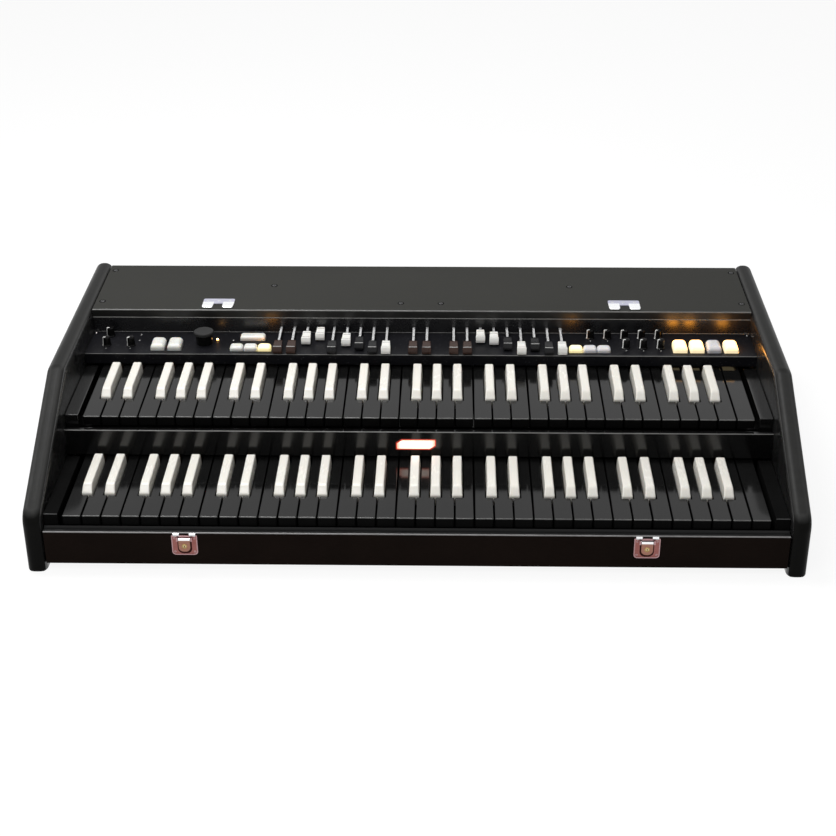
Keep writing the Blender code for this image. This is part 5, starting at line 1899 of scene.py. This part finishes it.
@dataclass
class Drawbar:
    """A drawbar: ridged cap with painted lines, marked steel stem and the carriage behind the wall.

    A section is the depth, the inset, the lift of the foot, the drop of the top and the
    corner's rounding. A line is its first and last depth, its two drops and its inset.
    """

    node: str
    length: float = 25.0
    wide: float = 12.4
    base: float = 73.0
    high: float = 9.5
    stem: float = 78.0
    stem_wide: float = 3.4
    stem_thick: float = 2.4
    carriage: float = 24.0
    block: float = 4.9
    block_high: float = 3.95
    mark_pitch: float = 2.75
    sections: Rows = (
        (0.0, 0.8, 0.7, 6.5, 0.4), (0.5, 0.2, 0.2, 4.9, 0.6), (1.2, 0.0, 0.0, 3.2, 0.7),
        (2.3, 0.0, 0.0, 0.9, 0.7), (2.9, 0.0, 0.0, 0.1, 0.7), (3.5, 0.0, 0.0, 0.0, 0.7),
        (4.4, 0.0, 0.0, 0.1, 0.7), (5.2, 0.1, 0.0, 1.0, 0.7), (7.0, 0.2, 0.0, 1.5, 0.8),
        (15.0, 0.6, 0.3, 1.6, 0.8), (19.5, 0.8, 0.6, 0.9, 0.8), (21.5, 0.9, 0.8, 0.7, 0.8),
        (24.2, 1.0, 1.0, 1.0, 0.8), (25.0, 1.8, 1.6, 1.8, 0.3))
    white_cap_shade_lines: Rows = (
        (5.0, 5.9, 1.3, 0.85, 0.8), (7.6, 8.4, 1.8, 1.46, 0.8), (18.6, 19.4, 1.4, 0.88, 1.2))
    dark_cap_highlight_lines: Rows = ((2.6, 4.3, 0.6, -0.05, 0.8),)

    @property
    def colour(self) -> BarColour:
        """Brown for the pedal bars and the first two of a manual, black for numbers 5, 7 and 8.

        Returns:
            The colour.
        """
        _word, group, number = self.node.split("_")
        if group == "pedal" or int(number) <= 2:
            return BarColour.BROWN
        return BarColour.BLACK if int(number) in (5, 7, 8) else BarColour.WHITE

    def cap(self, box: Box) -> None:
        """Build the cap and its painted lines: a highlight on the ridge of a dark cap, shade lines on a white
        one.

        Args:
            box: the solid's box.
        """
        cx, half, low, y0 = box.cx, self.wide / 2.0, self.base, box.y0
        top, colour = low + self.high, self.colour
        rings = []
        for y, inset, lift, drop, corner in self.sections:
            plan = rounded(cx - half + inset, cx + half - inset, low + lift, top - drop, (corner,) * 4, 3)
            rings.append([(x, y0 + y, z) for x, z in plan])
        cap = Shape(self.node + "_cap").skin(rings).build(colour.finish, sharp=48.0)
        fit(cap, self.node, colour.value, self.node)
        white = colour is BarColour.WHITE
        # painted highlight on dark caps, painted shade lines on white ones
        line = Shape(self.node + "_ridge")
        for start, stop, foot, crest, inset in self.white_cap_shade_lines if white else self.dark_cap_highlight_lines:
            line.block(cx - half + inset, cx + half - inset, y0 + start, y0 + stop, top - foot, top - crest)
        ridge = line.build(GROOVE_SHADE) if white else line.build(RIDGE_HIGHLIGHT, bevel=0.2)
        fit(ridge, self.node, "drawbar_white")

    def make(self) -> None:
        """Build cap, stem and carriage."""
        box = Box.of(self.node)
        self.cap(box)
        cx, end, rear = box.cx, box.y0 + self.length, box.y1 - self.carriage
        s, t, z = self.stem_wide / 2.0, self.stem_thick / 2.0, self.stem
        brick(self.node + "_stem", (cx - s, cx + s, end - 1.0, rear + 1.0, z - t, z + t), STEEL, self.node,
              "latch_nickel", 0.3)
        left, right, crest = cx - s + 0.3, cx + s - 0.3, z + t
        brick(self.node + "_scale", (left, right, end + 0.4, rear - 0.4, crest - 0.3, crest + 0.05),
              SCALE_WHITE, self.node, "drawbar_white")
        mark = Shape(self.node + "_marks").block(left, right, end + 1.6, end + 2.4, crest - 0.4, crest + 0.09)
        marks = mark.build(MARK_DARK)
        count = max(int((rear - end - 4.0) / self.mark_pitch), 1)
        rules().row.apply(marks, MARK_DARK, Count=count, Step=(0.0, self.mark_pitch * MM, 0.0))
        fit(marks, self.node, "drawbar_black")
        half, high = self.block, self.block_high
        brick(self.node + "_carriage", (cx - half, cx + half, rear + 0.1, box.y1 - 0.1, z - high, z + high),
              CHIP_BLACK, self.node, "drawbar_black", 0.6)


@dataclass
class SmallKnob:
    """A small glossy knob with a foot ring; a white line over its left side and top, with an arc on the foot
    ring, is a painted highlight.
    """

    node: str
    radius: float = 6.0
    high: float = 13.0
    shaft: float = 3.0
    highlight_angle: float = 58.0
    line: float = 2.0
    climb: Pairs = (
        (0.1, -12.1), (0.5, -11.5), (0.75, -10.8), (1.0, -1.6), (1.15, -0.8), (1.55, -0.25), (2.2, -0.05),
        (2.8, -0.3))

    def make(self) -> None:
        """Build the knob and its painted highlight."""
        box, r, top = Box.of(self.node), self.radius, self.high
        cx, cy, foot = box.cx, box.cy, DECK + SEAT
        climb = [(r - inset, top + z) for inset, z in self.climb]
        profile = [(self.shaft, box.z0 - foot), (self.shaft, 0.0), (r, 0.0), (r, 0.8), *climb,
                   (0.5, top - 0.4)]
        body = Shape(self.node + "_body").turned((cx, cy, foot), profile, 32).build(KNOB_BLACK)
        fit(body, self.node, "knob_black", self.node)
        # painted highlight: a white line down the knob's left side and over its top
        a = math.radians(self.highlight_angle)
        out, along = Vector((-math.sin(a), -math.cos(a))), Vector((math.cos(a), -math.sin(a)))
        rings = []
        for reach, z in climb + [(1.2, top - 0.35)]:
            ring = []
            for step, way in ((-1, -1), (1, -1), (1, 1), (-1, 1)):
                away, lift = (0.07, 0.07) if step > 0 else (-0.4, -0.25)
                p = out * (reach + away) + along * (way * self.line / 2.0)
                ring.append((cx + p.x, cy + p.y, foot + z + lift))
            rings.append(ring)
        line = Shape(self.node + "_pointer").skin(rings)
        # painted highlight: an arc on the foot ring
        turns = [math.radians(self.highlight_angle + 8.0 - 9.0 * k) for k in range(7)]
        line.skin([[(cx - math.sin(b) * away, cy - math.cos(b) * away, foot + z)
                    for away, z in ((r - 0.8, 0.6), (r - 0.05, 0.6), (r - 0.05, 0.92), (r - 0.8, 1.2))]
                   for b in turns])
        fit(line.build(PRINT_AND_HIGHLIGHT_WHITE), self.node, "knob_black")


@dataclass
class Selector:
    """The large selector: dark body under a wide grey disc with a knurled rim."""

    node: str = "encoder_knob"
    disc: float = 13.5
    body: float = 10.0
    disc_high: float = 5.4
    shaft: float = 3.0
    ribs: int = 60

    def make(self) -> None:
        """Build the selector."""
        box, r, d = Box.of(self.node), self.body, self.disc
        cx, cy, foot = box.cx, box.cy, DECK + SEAT
        z = box.z1 - foot
        under = z - self.disc_high
        body = Shape("selector_body").turned((cx, cy, foot), [
            (self.shaft, box.z0 - foot), (self.shaft, 0.0), (r + 0.6, 0.0), (r + 0.8, 0.8), (r + 1.3, under),
            (r + 1.4, under + 0.5)], 40)
        fit(body.build(KNOB_BLACK), self.node, "knob_black", self.node)
        disc = Shape("selector_disc").turned((cx, cy, foot), [
            (r - 1.0, under + 0.1), (d - 1.6, under + 0.5), (d - 0.5, under + 1.2), (d - 0.5, z - 1.1),
            (d - 0.8, z - 0.5), (d - 1.5, z - 0.1), (d - 2.2, z), (d - 3.0, z - 0.25), (d - 5.0, z - 0.5),
            (0.6, z - 0.6)], 56)
        fit(disc.build(KNOB_GREY), self.node, "encoder_grey")
        knurl = Shape("selector_knurl").block(
            d - 0.7, d - 0.02, MIDDLE - 0.4, MIDDLE + 0.4, under + 1.6 - FLOOR, z - 1.2 - FLOOR).build(
                KNOB_GREY, bevel=0.25)
        rules().wheel.apply(knurl, KNOB_GREY, Count=self.ribs)
        knurl.data.transform(Matrix.Translation(spot(cx, cy, foot)))
        fit(knurl, self.node, "encoder_grey")


@dataclass
class Cap:
    """A translucent cap with soft edges: a long rocker tab or a short push button."""

    node: str
    lamp: Lamp = Lamp.OFF
    slot: str = "button_white"
    dim: bool = False
    beside_cheek: bool = False
    rear_round: float = 4.6
    front_round: float = 3.2
    edge: float = 4.2
    steps: int = 8

    def plan(self, box: Box, inset: float, z: float) -> Ring:
        """The cap's outline drawn in by an inset, at a height.

        Args:
            box: the solid's box.
            inset: how far it is drawn in.
            z: the height.

        Returns:
            The ring.
        """
        front, rear = max(self.front_round - inset, 0.3), max(self.rear_round - inset, 0.5)
        plan = rounded(box.x0 + inset, box.x1 - inset, box.y0 + inset, box.y1 - inset,
                       (front, front, rear, rear), 6)
        return [(x, y, z) for x, y in plan]

    def finishes(self) -> tuple[Coating, ...]:
        """Choose the finishes by the lamp.

        Returns:
            The finish of a plain cap, or those of a lit cap's face, sides and rear.
        """
        plain = CAP_GREY if self.dim else CAP_WHITE
        return {Lamp.OFF: (plain,), Lamp.AMBER: (AMBER_TOP, AMBER_SIDE, AMBER_REAR),
                Lamp.YELLOW: (YELLOW_TOP, YELLOW_SIDE, YELLOW_REAR)}[self.lamp]

    def make(self) -> None:
        """Build the cap and dress it."""
        box = Box.of(self.node)
        high, edge = box.z1, self.edge
        rings = [self.plan(box, 0.0, box.z0)]
        rings += [self.plan(box, edge * inwards, high - edge * down) for inwards, down in quarter(self.steps)]
        rings.append(self.plan(box, edge + 2.0, high - 0.1))
        cap = Shape(self.node + "_cap").skin(rings).build(*self.finishes(), sharp=45.0)
        face_map(cap)
        if self.lamp is not Lamp.OFF:
            side, rear = high - edge * 0.7, high - edge * 0.5
            retone(cap, 1, lambda x, y, z: z < side)
            retone(cap, 2, lambda x, y, z: y > box.y1 - 0.8 and z < rear)
            if self.beside_cheek:
                front = box.y0 + self.front_round
                retone(cap, 2, lambda x, y, z: x > box.x1 - 0.5 and y > front and z < side)
        fit(cap, self.node, self.slot, self.node)


@dataclass
class CircuitBoard:
    """The contact board under the drawbar carriages, with chips on their legs."""

    node: str = "drawbar_circuit_board"
    thick: float = 1.6
    chips: int = 4
    chip: float = 40.0
    chip_deep: float = 16.0
    chip_high: float = 5.4
    legs: int = 14
    leg: float = 0.8
    leg_first: float = -18.0
    leg_pitch: float = 2.77

    def make(self) -> None:
        """Build the board, its chips and their legs."""
        box = Box.of(self.node)
        under, y = box.z1 - self.thick, box.y0 + self.chip_deep
        board = Shape("contact_board").block(box.x0, box.x1, box.y0, box.y1, under, box.z1)
        fit(board.build(BOARD_GREEN, bevel=0.2), "case", "circuit_green", self.node)
        half = (box.x1 - box.x0) / 2.0
        chips, legs = Shape("board_chips"), []
        for k in range(self.chips):
            cx = half * (k - 1.5) / 2.0
            chips.block(cx - self.chip / 2.0, cx + self.chip / 2.0, y + 2.0, y + self.chip_deep - 2.0,
                        under - self.chip_high, under - 0.8)
            x = cx + self.leg_first
            for v in (y + 0.6, y + self.chip_deep - 1.4):
                row = Shape(f"leg_{k}_{int(v)}").block(x, x + self.leg, v, v + self.leg, under - 3.0,
                                                       under + 0.1).build(SCREW_ZINC)
                legs.append(rules().row.apply(row, SCREW_ZINC, Count=self.legs,
                                              Step=(self.leg_pitch * MM, 0.0, 0.0)))
        fit(chips.build(CHIP_BLACK, bevel=0.5), "case", "circuit_green")
        fit(merge(legs, "board_chip_legs"), "case", "circuit_green")


# Studio
@dataclass(frozen=True)
class SoftLamp:
    """One rectangular soft lamp: its place and aim, width and height in metres, and power in watts."""

    name: str
    place: Point
    aim: Point
    size: tuple[float, float]
    power: float

    def hang(self) -> None:
        """Hang the lamp."""
        data = bpy.data.lights.new(self.name, "AREA")
        data.shape = "RECTANGLE"
        data.size, data.size_y = self.size
        data.energy = self.power
        obj = placed(self.name, data)
        obj.location = self.place
        obj.rotation_euler = (Vector(self.aim) - Vector(self.place)).to_track_quat("-Z", "Y").to_euler()


@dataclass
class Studio:
    """Camera, floor, lamps and a plain pale world."""

    place: Point = (0.04030, -1.90481, 1.11336)
    pitch: float = 28.6961
    yaw: float = -1.2650
    roll: float = 0.2703
    lens: float = 70.553
    sensor: float = 36.0
    farthest: float = 50.0
    floor_half: float = 9.0
    floor_tone: float = 0.45
    floor_white: float = 0.98
    floor_shine: float = 1.06
    floor_share: float = 0.85
    sky: float = 0.22
    lamps: tuple[SoftLamp, ...] = (
        SoftLamp("soft_overhead", (-0.45, 0.3, 2.0), (-0.1, 0.0, 0.1), (1.1, 0.7), 28.0),
        SoftLamp("left_strip", (-1.7, 0.2, 1.0), (0.0, 0.05, 0.15), (0.2, 1.2), 4.0),
        SoftLamp("front_fill", (-0.6, -1.5, 2.2), (0.0, 0.0, 0.1), (1.1, 0.7), 18.0))

    def camera(self) -> None:
        """Stand the camera where the photograph was taken from."""
        pitch, yaw, roll = (math.radians(v) for v in (self.pitch, self.yaw, self.roll))
        ahead = Vector((math.sin(yaw) * math.cos(pitch), math.cos(yaw) * math.cos(pitch), -math.sin(pitch)))
        level = Vector((math.cos(yaw), -math.sin(yaw), 0.0))
        down = ahead.cross(level)
        right = math.cos(roll) * level + math.sin(roll) * down
        up = math.sin(roll) * level - math.cos(roll) * down
        data = bpy.data.cameras.new("camera")
        data.lens = self.lens
        data.sensor_width = self.sensor
        data.clip_end = self.farthest
        cam = placed("camera", data)
        rows = [(right[k], up[k], -ahead[k], self.place[k]) for k in range(3)]
        cam.matrix_world = Matrix((*rows, (0.0, 0.0, 0.0, 1.0)))
        bpy.context.scene.camera = cam

    @staticmethod
    def seen(tree: Tree) -> Socket:
        """Tell rays that come from the camera, a mirror or glass.

        Args:
            tree: the shader tree.

        Returns:
            The socket of a value that is one for these rays.
        """
        ray = wire(tree, "ShaderNodeLightPath").outputs
        direct = calc(tree, "MAXIMUM", ray["Is Camera Ray"], ray["Is Glossy Ray"])
        return calc(tree, "MAXIMUM", direct, ray["Is Transmission Ray"])

    @staticmethod
    def shade(tree: Tree, kind: str, tone: float, **inputs: float) -> Socket:
        """Add a shader of one grey tone."""
        return wire(tree, kind, {"Color": (*grey(tone), 1.0), **inputs}).outputs[0]

    def floor(self) -> None:
        """Lay a plain white floor that keeps the organ's soft shadow."""
        far = self.floor_half
        obj = raw("floor", [(-far, -far, 0), (far, -far, 0), (far, far, 0), (-far, far, 0)], [[0, 1, 2, 3]])
        mat = bpy.data.materials.new("floor_white")
        mat.use_nodes = True
        tree = mat.node_tree
        tree.nodes.clear()
        plain = self.shade(tree, "ShaderNodeBsdfDiffuse", self.floor_tone)
        white = self.shade(tree, "ShaderNodeBsdfDiffuse", self.floor_white)
        shine = self.shade(tree, "ShaderNodeEmission", 1.0, Strength=self.floor_shine)
        shown = wire(tree, "ShaderNodeMixShader", {0: self.floor_share, 1: white, 2: shine}).outputs[0]
        mix = wire(tree, "ShaderNodeMixShader", {0: self.seen(tree), 1: plain, 2: shown})
        wire(tree, "ShaderNodeOutputMaterial", {0: mix.outputs[0]})
        obj.data.materials.append(mat)

    def world(self) -> None:
        """Plain soft light from all round; white where it is seen."""
        world = bpy.data.worlds.new("studio")
        bpy.context.scene.world = world
        world.use_nodes = True
        tree = world.node_tree
        tree.nodes.clear()
        soft = self.shade(tree, "ShaderNodeBackground", 1.0, Strength=self.sky)
        white = self.shade(tree, "ShaderNodeBackground", 1.0, Strength=1.0)
        mix = wire(tree, "ShaderNodeMixShader", {0: self.seen(tree), 1: soft, 2: white})
        wire(tree, "ShaderNodeOutputWorld", {0: mix.outputs[0]})

    def make(self) -> None:
        """Set up the whole studio."""
        self.camera()
        self.floor()
        self.world()
        for lamp in self.lamps:
            lamp.hang()
        bpy.context.scene.view_settings.view_transform = "Standard"


LIT = {"button_left_3": Lamp.YELLOW, "button_right_1": Lamp.YELLOW, "tab_right_1": Lamp.AMBER,
       "tab_right_2": Lamp.AMBER, "tab_right_4": Lamp.AMBER}


def sub_assemblies() -> Iterator[object]:
    """The organ's parts in the order in which they are made.

    Yields:
        One part after the other.
    """
    yield from (SidePanel(side) for side in Side)
    yield FrontBoard()
    yield from (Latch(side) for side in Side)
    yield from (TopBoard(), LowerFrame(), RearPanel(), UpperFrame())
    yield from (Manual("lower"), Manual("upper", setback=150.8, rise=53.0))
    yield from (ControlPanel(), CircuitBoard())
    names = sorted(frame["nodes"])
    for name in names:
        if name.startswith("drawbar_") and name != CircuitBoard.node:
            yield Drawbar(name)
        elif name.startswith("knob_"):
            yield SmallKnob(name)
    yield Selector()
    for name in names:
        lamp, dim = LIT.get(name, Lamp.OFF), "right" in name
        if name.startswith("tab_"):
            yield Cap(name, lamp, "tab_white", dim, name == "tab_right_4", 5.6, edge=5.4)
        elif name.startswith("button_"):
            yield Cap(name, lamp, dim=dim)


def main() -> None:
    """Build the studio and every sub-assembly."""
    logging.basicConfig(level=logging.INFO, format="%(message)s")
    Studio().make()
    for part in sub_assemblies():
        part.make()


if __name__ == "__main__":
    main()
